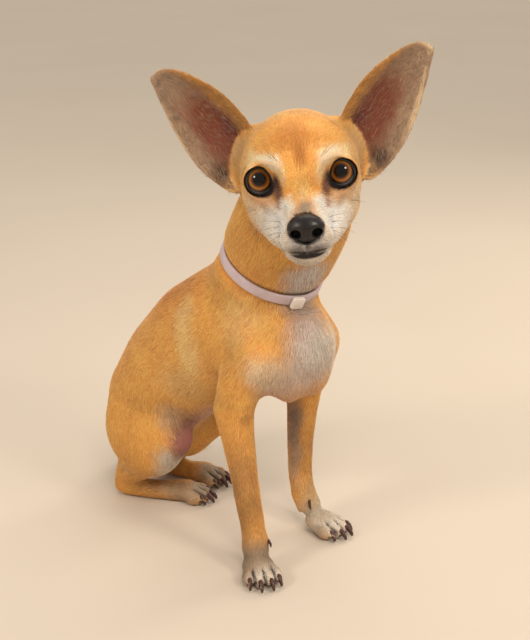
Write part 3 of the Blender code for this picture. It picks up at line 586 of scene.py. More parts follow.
# Inside of the ear: how far across and up, half sizes, colour and strength.
EAR_INSIDE = [
    ((0.5, 0.5), (0.9, 0.9), "#7c5640", 1.0),
    ((0.42, 0.36), (0.50, 0.42), "#65301f", 0.95),
    ((0.22, 0.22), (0.30, 0.30), "#5a2420", 1.0),
    ((0.20, 0.22), (0.14, 0.16), "#431616", 0.8),
    ((1.0, 0.45), (0.30, 0.72), "#9a7d62", 0.9),
    ((0.5, 1.0), (0.9, 0.40), "#8d735a", 0.9),
    ((0.0, 0.45), (0.28, 0.6), "#a87238", 1.0),
    ((0.84, 0.12), (0.26, 0.12), "#5c3c29", 0.7),
    ((0.86, 0.13), (0.13, 0.06), "#2b1710", 1.0),
    ((0.85, -0.02), (0.5, 0.10), "#cba46c", 0.9),
]


def ear_colour(points, normals, colours):
    """Paints the inside of both ears over the coat's colours."""
    share_across, height, facing = ear_place(points, normals)
    spots = np.stack([share_across, height], 1) + (mottle(points, 4, 8)[:, None] - 0.5) * 0.08
    for centre, radii, colour, strength in EAR_INSIDE:
        weight = np.clip(inside_ball(spots, centre, radii) * 2, 0, 1) * strength * facing
        colours = colours * (1 - weight[:, None]) + np.array(linear(colour)) * weight[:, None]
    return colours


is_ear = np.isin(owners, [FLESH.index("ear_right"), FLESH.index("ear_left")])
coat_colour = paint(points, linear(FAWN), MARKINGS)
coat_colour *= 0.86 + 0.28 * mottle(points, 9, 1)[:, None]
skin_colour = coat_colour * np.array((0.70, 0.62, 0.52))
ear_weight = spread(is_ear.astype(float), edges, 3)[:, None]
skin_colour = skin_colour * (1 - ear_weight) + ear_colour(points, normals, skin_colour) * ear_weight
# A pale fringe runs round the edge of each ear.
fringe_across, fringe_up, _ = ear_place(points, normals)
fringe = np.maximum(np.clip((fringe_across - 0.95) / 0.04, 0, 1), np.clip((fringe_up - 0.97) / 0.04, 0, 1))
fringe = (fringe * np.clip((fringe_up - 0.3) * 5, 0, 1) * is_ear)[:, None] * 0.85
coat_colour = coat_colour * (1 - fringe) + np.array(linear("#f0d8b4")) * fringe
skin_colour = skin_colour * (1 - fringe) + np.array(linear("#d8b88e")) * fringe

# Bare or thinly haired skin, which only the skin shows.
BARE = [
    (BODY, (0, -84, 208), (20, 20, 24), "#9d8079", 1.0, "one"),
    (BODY, (-4, -90, 175), (18, 20, 24), "#a58a83", 0.8, "one"),
    (BODY, (-23, 18, 67), (21, 19, 32), "#915b52", 1.0, "one"),
    (BODY, (0, 10, 92), (30, 50, 24), "#b98a78", 0.9, "one"),
    (HEAD, (0, -42, -28), (24, 24, 22), "#8d857d", 0.8, "one"),
]
skin_colour = paint(points, skin_colour, BARE)
lips = np.clip(1.2 - lip_distance / 1.3, 0, 1)
# The dark lower lip shows between the jaws as a narrow lens: its height, half width and half height.
LOWER_LIP = (-38.8, 12.0, 2.3)
lens = LOWER_LIP[2] * (1 - (front_view[:, 0] / LOWER_LIP[1]) ** 2) - np.abs(front_view[:, 1] - LOWER_LIP[0])
lips = np.maximum(lips, np.where(in_head[:, 1] < -36, np.clip(lens / 0.8, 0, 1), 0))
rims = np.clip((1.25 - eye_ring) / 0.14, 0, 1)
dark = np.maximum(lips, rims)[:, None]
skin_colour = skin_colour * (1 - dark) + np.array(linear("#1a1211")) * dark
hair_dark = 0.9 * np.maximum(lips, np.clip((1.2 - eye_ring) / 0.1, 0, 1))[:, None]
coat_colour = coat_colour * (1 - hair_dark) + np.array(linear("#332823")) * hair_dark
# Painted shade darkens the grooves between the toes, and the bare skin where the claws grow is dark.
toe_shade_and_claw_beds = np.clip(np.maximum(1.3 - toe_gap / 1.1, 3.2 - claw_gap), 0, 1)[:, None]
skin_colour = skin_colour * (1 - toe_shade_and_claw_beds) + np.array(linear("#2b1f19")) * toe_shade_and_claw_beds
coat_colour = coat_colour * (1 - 0.8 * toe_shade_and_claw_beds) + np.array(linear("#55453a")) * 0.8 * toe_shade_and_claw_beds


def node(tree, kind, settings=(), links=()):
    """Adds one node: settings of the node or its inputs, and links from other nodes' outputs."""
    made = tree.nodes.new(kind)
    for key, value in dict(settings).items():
        if isinstance(key, int) or key in made.inputs:
            made.inputs[key].default_value = value
        else:
            setattr(made, key, value)
    for key, (source, output) in dict(links).items():
        tree.links.new(source.outputs[output], made.inputs[key])
    return made


def material(name):
    """An empty material with its shader and its node tree."""
    made = bpy.data.materials.new(name)
    made.use_nodes = True
    return made, made.node_tree, made.node_tree.nodes["Principled BSDF"]


def put_colour(mesh, name, colours):
    """Stores a colour for each vertex."""
    layer = mesh.color_attributes.new(name, "FLOAT_COLOR", "POINT")
    values = np.ones((len(colours), 4), np.float32)
    values[:, :3] = colours
    layer.data.foreach_set("color", values.ravel())


def skin_material():
    """Dog skin under short hair: matte, finely pored, with a faint mottling."""
    made, tree, shader = material("dog_skin")
    place = node(tree, "ShaderNodeTexCoord")
    tint = node(tree, "ShaderNodeVertexColor", {"layer_name": "Skin"})
    pores = node(tree, "ShaderNodeTexNoise", {"Scale": 1 / (0.9 * MM), "Detail": 3.0},
                 {"Vector": (place, "Object")})
    shade = node(tree, "ShaderNodeMapRange", {"To Min": 0.78, "To Max": 1.16}, {"Value": (pores, "Fac")})
    mixed = node(tree, "ShaderNodeVectorMath", {"operation": "SCALE"},
                 {0: (tint, "Color"), "Scale": (shade, "Result")})
    bump = node(tree, "ShaderNodeBump", {"Strength": 0.5, "Distance": 0.35 * MM},
                {"Height": (pores, "Fac")})
    tree.links.new(mixed.outputs["Vector"], shader.inputs["Base Color"])
    tree.links.new(bump.outputs["Normal"], shader.inputs["Normal"])
    shader.inputs["Roughness"].default_value = 0.62
    shader.inputs["Specular IOR Level"].default_value = 0.3
    return made


put_colour(skin.data, "Skin", skin_colour)
skin.data.materials.clear()
skin.data.materials.append(skin_material())
skin.data.shade_smooth()
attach(skin, "root")
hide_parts(*FLESH)


# Collar seat. The band lies low on the neck, so the hair stops at its edges.

COLLAR_CENTRE = (6.6, -38.9, 208.5)
COLLAR_TURN = (-62.0, 3.0)
COLLAR_PLACE = (Matrix.Translation(COLLAR_CENTRE) @ Matrix.Rotation(math.radians(COLLAR_TURN[1]), 4, "Y")
                @ Matrix.Rotation(math.radians(COLLAR_TURN[0]), 4, "X"))
BAND_HALF_WALL, BAND_HALF_WIDTH = 1.1, 3.6
COLLAR_REACH = 36.0


# Coat. Short, flat, soft hair in small tufts that overlap and follow the lie: back from the nose,
# up and outwards over the brow, down the neck and legs, and back along the body. It is longest on
# the neck and chest, thin on the throat and in the ears, and nearly gone on the knee.

# Length, width, tufts on each square millimetre, and how far they stand up.
FUR = {
    "torso": (6.6, 0.50, 1.95, 0.055),
    "neck": (7.6, 0.50, 1.9, 0.07),
    "tail": (6.5, 0.52, 1.5, 0.07),
    "foreleg": (4.2, 0.38, 2.5, 0.05),
    "hindleg": (5.2, 0.44, 2.1, 0.05),
    "paw": (2.8, 0.28, 3.0, 0.06),
    "ear": (3.2, 0.24, 2.6, 0.07),
    "head": (3.7, 0.29, 3.3, 0.055),
}
# Where the coat differs: frame, middle, half sizes, then what the four values are multiplied by.
FUR_CHANGES = [
    (HEAD, (0, 0, 36), (40, 40, 22), (1.35, 1.2, 0.75, 1.1), "one"),
    (HEAD, (34, 25, -8), (20, 40, 34), (1.6, 1.25, 0.7, 1.2), "both"),
    (HEAD, (38, 26, 10), (13, 26, 26), (1.9, 1.0, 1.0, 2.2), "both"),
    (HEAD, (0, -42, -20), (22, 18, 26), (0.8, 0.8, 1.4, 1.3), "one"),
    (HEAD, (0, -44, -29), (24, 20, 18), (0.85, 1.05, 1.7, 2.0), "one"),
    (HEAD, (0, -25, -3), (16, 14, 12), (0.7, 0.9, 1.3, 1.6), "one"),
    (HEAD, (13, -19, 0), (7, 8, 12), (0.6, 0.8, 0.9, 1.0), "both"),
    (HEAD, (25, -6, 0), (17, 14, 18), (0.55, 0.7, 1.5, 0.8), "both"),
    (BODY, (0, -84, 208), (26, 24, 24), (0.95, 0.62, 0.55, 1.2), "one"),
    (BODY, (0, -90, 165), (34, 26, 34), (1.15, 0.8, 0.95, 1.4), "one"),
    (BODY, (-18, 19, 68), (15, 14, 26), (0.4, 0.5, 0.12, 1.0), "one"),
    (BODY, (0, 10, 92), (30, 50, 24), (0.8, 0.7, 0.4, 1.0), "one"),
]
# The lie of the hair: frame, where, and which way it points there.
LIE = [
    (HEAD, (0, -46, -12), (0, 0.6, 0.9), "one"),
    (HEAD, (0, -34, -8), (0, 0.7, 0.7), "one"),
    (HEAD, (0, -22, 4), (0, 0.35, 1), "one"),
    (HEAD, (9, -20, 8), (0.6, 0.2, 0.9), "both"),
    (HEAD, (14, -17, 14), (0.6, 0.3, 0.8), "both"),
    (HEAD, (0, -14, 22), (0, 0.5, 1), "one"),
    (HEAD, (16, -8, 26), (0.7, 0.6, 0.7), "both"),
    (HEAD, (0, 5, 36), (0, 1, 0.4), "one"),
    (HEAD, (24, 2, 27), (0.8, 0.5, 0.4), "both"),
    (HEAD, (36, 2, 4), (0.4, 1, 0.1), "both"),
    (HEAD, (25, -6, 15), (0.8, 0.3, 0.6), "both"),
    (HEAD, (0, 30, 35), (0, 1, -0.3), "one"),
    (HEAD, (10, -42, -22), (0.7, 0.9, 0), "both"),
    (HEAD, (14, -32, -14), (0.4, 1, 0.1), "both"),
    (HEAD, (18, -24, -22), (0.4, 1, -0.3), "both"),
    (HEAD, (20, -14, -14), (0.5, 1, -0.4), "both"),
    (HEAD, (13, -24, -10), (0.2, 0.8, -0.5), "both"),
    (HEAD, (8, -46, -33), (0.8, 0.4, -0.5), "both"),
    (HEAD, (14, -36, -34), (0.5, 0.8, -0.7), "both"),
    (HEAD, (0, -46, -43), (0, 0.5, -1), "one"),
    (HEAD, (9, -40, -44), (0.4, 0.8, -0.9), "both"),
    (HEAD, (28, 0, -22), (0.2, 1, -0.5), "both"),
    (HEAD, (24, -4, -36), (0.1, 0.9, -0.8), "both"),
    (HEAD, (38, 20, -10), (0, 0.8, -0.7), "both"),
    (HEAD, (30, 25, -30), (0, 0.7, -0.9), "both"),
    (HEAD, (0, -5, -48), (0, 1, -0.5), "one"),
    (HEAD, (38, 25, 5), (0.5, 0.6, 0.3), "both"),
    (HEAD, (38, 36, 28), (0.67, 0.05, 0.74), "both"),
    (HEAD, (60, 40, 48), (0.67, 0.05, 0.74), "both"),
    (HEAD, (80, 40, 60), (0.67, 0.05, 0.74), "both"),
    (BODY, (0, -82, 215), (0, 0.1, -1), "one"),
    (BODY, (16, -76, 215), (0.5, 0.2, -1), "one"),
    (BODY, (-18, -72, 218), (-0.5, 0.2, -1), "one"),
    (BODY, (-28, -48, 235), (-0.1, 0.5, -1), "one"),
    (BODY, (36, -46, 235), (0.2, 0.5, -1), "one"),
    (BODY, (6, -14, 262), (0, 0.7, -0.8), "one"),
    (BODY, (4, 10, 215), (0, 0.8, -0.6), "one"),
    (BODY, (0, 60, 175), (0, 0.65, -0.75), "one"),
    (BODY, (0, 105, 90), (0, 0.3, -1), "one"),
    (BODY, (-36, -45, 175), (-0.1, 0.45, -0.9), "one"),
    (BODY, (44, -35, 175), (0.1, 0.45, -0.9), "one"),
    (BODY, (-46, 20, 140), (0, 0.7, -0.7), "one"),
    (BODY, (50, 25, 140), (0, 0.7, -0.7), "one"),
    (BODY, (-38, 0, 115), (0, 0.7, -0.6), "one"),
    (BODY, (0, -90, 165), (0, 0.1, -1), "one"),
    (BODY, (0, -70, 132), (0, 0.6, -0.8), "one"),
    (BODY, (-38, -60, 100), (0, 0.1, -1), "one"),
    (BODY, (-36, -62, 60), (0, 0, -1), "one"),
    (BODY, (-37, -68, 30), (0, -0.3, -1), "one"),
    (BODY, (40, -35, 100), (0, 0.1, -1), "one"),
    (BODY, (40, -36, 60), (0, 0, -1), "one"),
    (BODY, (43, -44, 30), (0, -0.3, -1), "one"),
    (BODY, (-40, -90, 10), (-0.4, -0.9, -0.4), "one"),
    (BODY, (47, -64, 10), (0.25, -0.95, -0.4), "one"),
    (BODY, (10, 45, 10), (0.6, -0.8, -0.3), "one"),
    (BODY, (35, 60, 10), (0.35, -0.95, -0.3), "one"),
    (BODY, (-52, 50, 75), (0, 0.15, -1), "one"),
    (BODY, (-50, 70, 40), (0.1, 0.1, -1), "one"),
    (BODY, (-30, 24, 85), (0.3, -0.1, -1), "one"),
    (BODY, (-28, 28, 50), (0.1, -0.1, -1), "one"),
    (BODY, (-15, 70, 10), (0.6, -0.8, -0.1), "one"),
    (BODY, (35, 75, 70), (0.1, 0.2, -1), "one"),
    (BODY, (0, 125, 25), (0.6, 0.7, -0.4), "one"),
    (BODY, (30, 145, 10), (1, 0.2, 0), "one"),
    (BODY, (62, 145, 8), (1, -0.2, 0), "one"),
]


def lie_at(points, normals):
    """The way the hair lies at each point, along the skin."""
    total = np.zeros_like(points)
    for place, where, way, mirrored in LIE:
        for sign in SIDES.values() if mirrored == "both" else (1,):
            spot = placed([flip(where, sign)], place)[0]
            turned = np.array(place)[:3, :3] @ np.array(flip(way, sign))
            weight = 1 / (np.sum((points - spot) ** 2, axis=1) + 9) ** 2
            total += turned / np.linalg.norm(turned) * weight[:, None]
    total = unit(total)
    for side in SIDES:
        spots = seen_from(points, eye_frames[side])
        ring = np.hypot(spots[:, 0] / LID_HALF[0], spots[:, 2] / LID_HALF[1])
        spots[:, 1] = 0
        away = unit(spots) @ np.array(eye_frames[side])[:3, :3].T
        inwards = np.minimum(np.sum(total * away, axis=1), 0.35)[:, None]
        total += away * np.clip(2.6 - ring, 0, 1)[:, None] * (0.5 - inwards) * (ring < 3)[:, None]
    return unit(total - normals * np.sum(total * normals, axis=1)[:, None])


fur = np.stack([by_node({key: values[i] for key, values in FUR.items()}, owners) for i in range(4)], 1)
fur = spread(fur, edges, 6)
for place, centre, radii, factors, mirrored in FUR_CHANGES:
    for sign in SIDES.values() if mirrored == "both" else (1,):
        share = np.clip(inside_ball(seen_from(points, place), flip(centre, sign), radii) * 1.5, 0, 1)
        fur *= 1 + share[:, None] * (np.array(factors) - 1)
across_ear, up_ear, facing_ear = ear_place(points, normals)
cup = (is_ear * facing_ear)[:, None]
fur = fur * (1 - cup) + np.array((4.0, 0.16, 0.5, 0.12)) * cup
at_edge = np.clip(1.3 - across_ear / 0.26, 0, 1) + np.clip((across_ear - 0.7) / 0.2, 0, 1)
fur[:, 2] += 1.9 * cup[:, 0] * np.clip(at_edge + np.clip((up_ear - 0.6) / 0.25, 0, 1), 0, 1)
fur[:, 2] *= 1 - np.clip(lips * 1.6, 0, 1)
fur[:, 2] *= np.clip((eye_ring - 1.17) / 0.1, 0, 1) * np.clip(toe_gap / 1.0, 0, 1)
fur[:, 2] *= np.clip(claw_gap - 2.6, 0, 1)
nose_gap = np.linalg.norm((seen_from(points, HEAD) - (0, -45.0, -21.6)) / (10.6, 9.5, 8.8), axis=1)
fur[:, 2] *= np.clip((nose_gap - 1.04) * 12, 0, 1)
fur[:, 2] *= np.clip(points[:, 2] / 2.0, 0, 1)

# Hair that is paler than the skin below it.
PALE_HAIR = [
    (BODY, (0, -84, 208), (22, 22, 24), "#e6dcd2", 0.9, "one"),
    (BODY, (0, -90, 168), (22, 22, 26), "#e2d8ce", 0.6, "one"),
]
hair_colour = paint(points, coat_colour, PALE_HAIR)
ear_hair = np.array(linear("#b39479")) * np.ones((len(points), 1))
tan = np.clip(1.3 - across_ear / 0.2, 0, 1)[:, None]
ear_hair = ear_hair * (1 - tan) + np.array(linear("#cf9a55")) * tan
dusk = mottle(points, 1.6, 6)[:, None]
ear_hair = ear_hair * (0.45 + 1.2 * dusk * dusk)
hair_colour = hair_colour * (1 - cup) + ear_hair * cup
hair_colour = hair_colour * (1 - fringe) + np.array(linear("#f0d8b4")) * fringe
lie = lie_at(points, normals)


def unwrapped(obj):
    """Unwraps a mesh by its own shape and gives the UV of each face corner."""
    bpy.context.view_layer.objects.active = obj
    obj.select_set(True)
    bpy.ops.object.mode_set(mode="EDIT")
    bpy.ops.mesh.select_all(action="SELECT")
    bpy.ops.uv.smart_project(angle_limit=math.radians(66), island_margin=0.002)
    bpy.ops.object.mode_set(mode="OBJECT")
    obj.select_set(False)
    return read(obj.data.uv_layers.active, "data", "uv", 2)


skin_uv = unwrapped(skin)
skin.data.calc_loop_triangles()
tri_verts = read(skin.data, "loop_triangles", "vertices", 3, np.int32)
tri_loops = read(skin.data, "loop_triangles", "loops", 3, np.int32)
tri_owner = owners[tri_verts[:, 0]]
corners = points[tri_verts]
tri_area = np.linalg.norm(np.cross(corners[:, 1] - corners[:, 0], corners[:, 2] - corners[:, 0]), axis=1) / 2
tri_count = tri_area * fur[tri_verts, 2].mean(axis=1)
# Four of each vertex's neighbours, drawn at random, so that two colours mingle where they meet.
order = np.random.default_rng(4)
neighbours = np.tile(np.arange(len(points)), (4, 1))
for row in neighbours:
    mixed = edges[order.permutation(len(edges))]
    row[mixed[:, 0]] = mixed[:, 1]
    mixed = edges[order.permutation(len(edges))]
    half = order.random(len(edges)) < 0.5
    row[mixed[half, 1]] = mixed[half, 0]
PATCH = 0.003
ROOT_SINK = 0.55
draws = np.random.default_rng(11)


def coat_material():
    """Dog hair: soft and satin, with the colour of each tuft in its own attribute."""
    made, tree, shader = material("dog_hair")
    place = node(tree, "ShaderNodeTexCoord")
    tint = node(tree, "ShaderNodeVertexColor", {"layer_name": "Coat"})
    strands = node(tree, "ShaderNodeTexNoise", {"Scale": 1 / (0.7 * MM), "Detail": 2.0},
                   {"Vector": (place, "Object")})
    shade = node(tree, "ShaderNodeMapRange", {"To Min": 0.86, "To Max": 1.12}, {"Value": (strands, "Fac")})
    mixed = node(tree, "ShaderNodeVectorMath", {"operation": "SCALE"},
                 {0: (tint, "Color"), "Scale": (shade, "Result")})
    tree.links.new(mixed.outputs["Vector"], shader.inputs["Base Color"])
    shader.inputs["Roughness"].default_value = 0.6
    shader.inputs["Specular IOR Level"].default_value = 0.25
    shader.inputs["Sheen Weight"].default_value = 0.12
    return made


dog_hair = coat_material()
skin_tree = BVHTree.FromPolygons([Vector(p) for p in points], tri_verts.tolist())


def laid_on_skin(tips, height):
    """Tips of tufts, moved to their height above the skin, so that none dives into a hollow."""
    found = [skin_tree.find_nearest(tip) for tip in tips.tolist()]
    under = np.array([spot for spot, _, _, _ in found])
    out = np.array([way for _, way, _, _ in found])
    off = np.sum((tips - under) * out, axis=1)
    return tips + out * (height - off)[:, None]


def tufts(name, faces, bent):
    """One coat piece: tapered tufts rooted on some of the skin's triangles.

    A bent tuft has a ring half way, and a straight one runs from its root ring to its tip.
    """
    count = int(tri_count[faces].sum())
    chosen = draws.choice(faces, count, p=tri_count[faces] / tri_count[faces].sum())
    share = np.sqrt(draws.random(count))
    other = draws.random(count)
    weights = np.stack([1 - share, share * (1 - other), share * other], 1)[:, :, None]
    verts = tri_verts[chosen]
    root = (points[verts] * weights).sum(axis=1)
    up = unit((normals[verts] * weights).sum(axis=1))
    length, width, _, lift = (fur[verts] * weights).sum(axis=1).T
    near = verts[np.arange(count), draws.integers(0, 3, count)]
    for _ in range(8 if length.mean() > 4.5 else 2):
        near = neighbours[draws.integers(0, 4, count), near]
    colour = hair_colour[near]
    along = (lie[verts] * weights).sum(axis=1) + draws.normal(0, 0.16, (count, 3))
    along = unit(along - up * np.sum(along * up, axis=1)[:, None])
    side = np.cross(up, along)
    length = length * draws.uniform(0.65, 1.25, count)
    width = width * draws.uniform(0.75, 1.3, count)
    lift = lift * draws.uniform(0.3, 1.8, count)
    # Hair that would lie over the collar ends at its edge.
    in_collar = seen_from(root, COLLAR_PLACE)
    near = np.abs(np.hypot(in_collar[:, 0], in_collar[:, 2]) - COLLAR_REACH) < 8
    slope = along @ np.array(COLLAR_PLACE)[:3, 1]
    to_band = np.abs(in_collar[:, 1]) - BAND_HALF_WIDTH - 0.2
    crosses = near & (in_collar[:, 1] * slope < 0)
    length = np.where(crosses, np.minimum(length, np.maximum(to_band, 0) / np.maximum(np.abs(slope), 0.1)), length)
    keep = (length > 0.8) & ~(near & (to_band < 0))
    chosen, weights, root, up, length, width = [v[keep] for v in (chosen, weights, root, up, length, width)]
    lift, colour, along, side = [v[keep] for v in (lift, colour, along, side)]
    count = len(root)
    ring = np.array([(-0.5, 0.0), (0.5, 0.0), (0.0, 0.42)])
    rows = []
    for reach, size in ((0.0, 1.0), (0.5, 0.8))[:2 if bent else 1]:
        height = lift * reach * 1.4 * length - ROOT_SINK * width * (1 - reach)
        centre = root + along * (length * reach)[:, None] + up * height[:, None]
        for out, rise in ring:
            rows.append(centre + side * (out * width * size)[:, None] + up * (rise * width * size)[:, None])
    rows.append(laid_on_skin(root + along * length[:, None], lift * length + 0.25 * width))
    body = np.stack(rows, 1)
    body[:, :, 2] = np.maximum(body[:, :, 2], 0.1)
    each = body.shape[1]
    tip = each - 1
    faces_of = [(2, 1, 0)]
    if bent:
        faces_of += [(i, (i + 1) % 3, 3 + (i + 1) % 3, 3 + i) for i in range(3)]
    faces_of += [(tip - 3 + i, tip - 3 + (i + 1) % 3, tip) for i in range(3)]
    loops = np.concatenate([np.array(f) for f in faces_of])
    sizes = np.array([len(f) for f in faces_of])
    starts = np.arange(count)[:, None] * each
    all_loops = (starts + loops).ravel().astype(np.int32)
    all_sizes = np.tile(sizes, count)
    mesh = bpy.data.meshes.new(name)
    mesh.vertices.add(count * each)
    mesh.vertices.foreach_set("co", (body * MM).astype(np.float32).ravel())
    mesh.loops.add(len(all_loops))
    mesh.loops.foreach_set("vertex_index", all_loops)
    mesh.polygons.add(len(all_sizes))
    mesh.polygons.foreach_set("loop_start", np.concatenate([[0], np.cumsum(all_sizes)[:-1]]).astype(np.int32))
    mesh.update(calc_edges=True)
    # Each side of a tuft is a strip of its patch, and its hidden root has a corner of it.
    spots = {}
    root_uv = (skin_uv[tri_loops[chosen]] * weights).sum(axis=1)
    strip = []
    for face in faces_of:
        if len(face) == 3 and face == (2, 1, 0):
            strip += [(0.0, 0.0), (0.12, 0.0), (0.0, 0.12)]
        else:
            i = face[0] % 3
            low, high = 0.16 + i * 0.28, 0.16 + i * 0.28 + 0.26
            first = 0.0 if face[0] < 3 else 0.5
            last = 1.0 if face[-1] == tip else 0.5
            if len(face) == 4:
                strip += [(low, first), (high, first), (high, last), (low, last)]
            else:
                strip += [(low, first), (high, first), ((low + high) / 2, last)]
    layer = mesh.uv_layers.new(name="OFBake")
    strip = (np.array(strip) - 0.5) * PATCH
    layer.data.foreach_set("uv", (root_uv[:, None, :] + strip).astype(np.float32).ravel())
    # Painted shade darkens each tuft at the root, down in the coat, and painted light brightens its tip; each tuft
    # is a little different.
    tone = draws.normal(1.0, 0.15, (count, 1)) * (0.9 + 0.2 * mottle(root, 2.2, 5)[:, None])
    fade = np.array([0.66] * 3 + [1.0] * 3 * bent + [1.3])
    shades = np.clip(colour * tone, 0.002, 0.95)[:, None, :] * fade[None, :, None]
    put_colour(mesh, "Coat", np.clip(shades, 0, 0.95).reshape(-1, 3))
    mesh.materials.append(dog_hair)
    mesh.shade_smooth()
    # A tuft is soft, so it takes the light like the skin under it, a little rounded across.
    leans = [side * -0.55, side * 0.55, np.zeros_like(side)] * (2 if bent else 1) + [along * 0.25]
    rows = [unit(up + lean) for lean in leans]
    if name != "coat_ears":
        mesh.normals_split_custom_set_from_vertices(np.stack(rows, 1).reshape(-1, 3))
    piece = new_object(name, mesh)
    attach(piece, "root")
    return piece


# Which nodes a coat piece covers, whether its tufts bend, and its number of pieces.
COATS = [
    ("coat_torso", ("torso",), False, 3),
    ("coat_neck", ("neck",), False, 1),
    ("coat_head", ("head",), False, 2),
    ("coat_forelegs", ("foreleg_right", "foreleg_left"), False, 1),
    ("coat_hindlegs", ("hindleg_right", "hindleg_left"), False, 1),
    ("coat_tail", ("tail",), False, 1),
    ("coat_paws", ("forepaw_right", "forepaw_left", "hindpaw_right", "hindpaw_left"), False, 1),
    ("coat_ears", ("ear_right", "ear_left"), False, 1),
]
for name, members, bent, parts in COATS:
    mine = np.flatnonzero(np.isin(tri_owner, [FLESH.index(m) for m in members]) & (tri_count > 0))
    mine = mine[np.argsort(corners[mine, 0, 1] - corners[mine, 0, 2])]
    bounds = np.searchsorted(np.cumsum(tri_count[mine]), tri_count[mine].sum() * np.arange(1, parts) / parts)
    for number, faces in enumerate(np.split(mine, bounds)):
        tufts(name if parts == 1 else f"{name}_{number + 1}", faces, bent)


# Eyes. Large round eyes, as the breed has: a wet clear cornea over an amber iris with a wide
# pupil, a dark ring round the iris, and a rim of grey white below it. Each is one ball of which
# the front bulges. The colours are rings about the line of sight, with painted light that makes
# the lower part of each eye brighter and the upper part darker.

IRIS_ANGLE = math.asin(7.1 / EYE_RADIUS)
PUPIL_ANGLE = math.asin(3.5 / EYE_RADIUS)
CORNEA_RISE = 0.55
GAZE = {"right": (0.5, 2.3), "left": (-1.2, 2.3)}


def eye_material():
    """A live eye: rings of colour with painted light below, under a film of tears, so it is very smooth."""
    made, tree, shader = material("eye_wet")
    rings = node(tree, "ShaderNodeAttribute", {"attribute_name": "Rings"})
    split = node(tree, "ShaderNodeSeparateXYZ", {}, {"Vector": (rings, "Vector")})
    fibres = node(tree, "ShaderNodeTexNoise", {"Scale": 9.0, "Detail": 4.0, "Distortion": 0.3},
                  {"Vector": (rings, "Vector")})
    scaled = node(tree, "ShaderNodeMath", {"operation": "MULTIPLY", 1: 1 / 1.5}, {0: (split, "X")})
    iris = node(tree, "ShaderNodeValToRGB", {}, {"Fac": (scaled, "Value")})
    stops = [
        (0.0, "#040303"), (PUPIL_ANGLE * 0.92, "#060403"), (PUPIL_ANGLE * 1.12, "#2a1408"),
        (PUPIL_ANGLE * 1.35, "#613610"), (IRIS_ANGLE * 0.78, "#8d5a1e"), (IRIS_ANGLE * 0.92, "#54310f"),
        (IRIS_ANGLE * 1.02, "#120b08"), (IRIS_ANGLE * 1.10, "#181414"), (IRIS_ANGLE * 1.2, "#46484d"),
        (1.3, "#2c2d31"),
    ]
    while len(iris.color_ramp.elements) < len(stops):
        iris.color_ramp.elements.new(0.5)
    for stop, (angle, colour) in zip(iris.color_ramp.elements, stops):
        stop.position = angle / 1.5
        stop.color = (*linear(colour), 1)
    # Painted light: the eye is lighter towards its bottom and darker towards its top, as light through the cornea
    # falls on the lower iris.
    shade = node(tree, "ShaderNodeMapRange", {"From Min": -1.0, "To Min": 1.5, "To Max": 0.35},
                 {"Value": (split, "Z")})
    grain = node(tree, "ShaderNodeMapRange", {"To Min": 0.7, "To Max": 1.3}, {"Value": (fibres, "Fac")})
    both = node(tree, "ShaderNodeMath", {"operation": "MULTIPLY"},
                {0: (shade, "Result"), 1: (grain, "Result")})
    mixed = node(tree, "ShaderNodeVectorMath", {"operation": "SCALE"},
                 {0: (iris, "Color"), "Scale": (both, "Value")})
    tree.links.new(mixed.outputs["Vector"], shader.inputs["Base Color"])
    shader.inputs["Roughness"].default_value = 0.5
    shader.inputs["Specular IOR Level"].default_value = 0.0
    shader.inputs["Coat Weight"].default_value = 1.0
    shader.inputs["Coat Roughness"].default_value = 0.02
    shader.inputs["Coat IOR"].default_value = 1.376
    return made


eye_wet = eye_material()
for side in SIDES:
    centre = middle("eye_" + side)
    lean, rise = GAZE[side]
    look = (eye_frames[side].to_3x3() @ Vector((lean, -EYE_RADIUS, rise))).normalized()
    sideways = Vector((0, 0, 1)).cross(look).normalized()
    above = look.cross(sideways)
    ball = bmesh.new()
    bmesh.ops.create_uvsphere(ball, u_segments=72, v_segments=64, radius=EYE_RADIUS)
    turned = Matrix((sideways, above, look)).transposed()
    rings = []
    for vert in ball.verts:
        place = vert.co.copy()
        angle = math.acos(max(-1, min(1, place.z / EYE_RADIUS)))
        bulge = CORNEA_RISE * max(0, math.cos(min(1, angle / (IRIS_ANGLE * 1.1)) * math.pi / 2)) ** 1.5
        flat = Vector((place.x, place.y)).normalized() if place.xy.length > 1e-6 else Vector((0, 0))
        # The third ring value, the height on the eye, drives the painted light.
        rings.append((angle, flat.x * 1.0, flat.y * min(1, angle / IRIS_ANGLE)))
        vert.co = (centre + turned @ (place * (1 + bulge / EYE_RADIUS))) * MM
    eye = from_bmesh("eyeball_" + side, ball)
    layer = eye.data.attributes.new("Rings", "FLOAT_VECTOR", "POINT")
    layer.data.foreach_set("vector", np.array(rings, np.float32).ravel())
    eye.data.materials.append(eye_wet)
    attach(eye, "root")
    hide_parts("eye_" + side)


# Eyelids. The edge of each lid is a soft hairless rim of black skin, wet where it meets the eye. It
# runs round the opening on the ball, drawn out to a point at the inner corner.

LID_RIM = 0.5
LID_STEPS = 72
# How far the inner corner of each eye sits below its middle.
INNER_CORNER = math.radians(-28)


def lid_material():
    """Black lid skin: smooth and a little moist."""
    made, tree, shader = material("lid_skin")
    place = node(tree, "ShaderNodeTexCoord")
    grain = node(tree, "ShaderNodeTexNoise", {"Scale": 1 / (0.6 * MM), "Detail": 3.0},
                 {"Vector": (place, "Object")})
    tint = node(tree, "ShaderNodeValToRGB", {}, {"Fac": (grain, "Fac")})
    tint.color_ramp.elements[0].color = (*linear("#090605"), 1)
    tint.color_ramp.elements[1].color = (*linear("#1a1312"), 1)
    bump = node(tree, "ShaderNodeBump", {"Strength": 0.35, "Distance": 0.15 * MM},
                {"Height": (grain, "Fac")})
    tree.links.new(tint.outputs["Color"], shader.inputs["Base Color"])
    tree.links.new(bump.outputs["Normal"], shader.inputs["Normal"])
    shader.inputs["Roughness"].default_value = 0.55
    return made


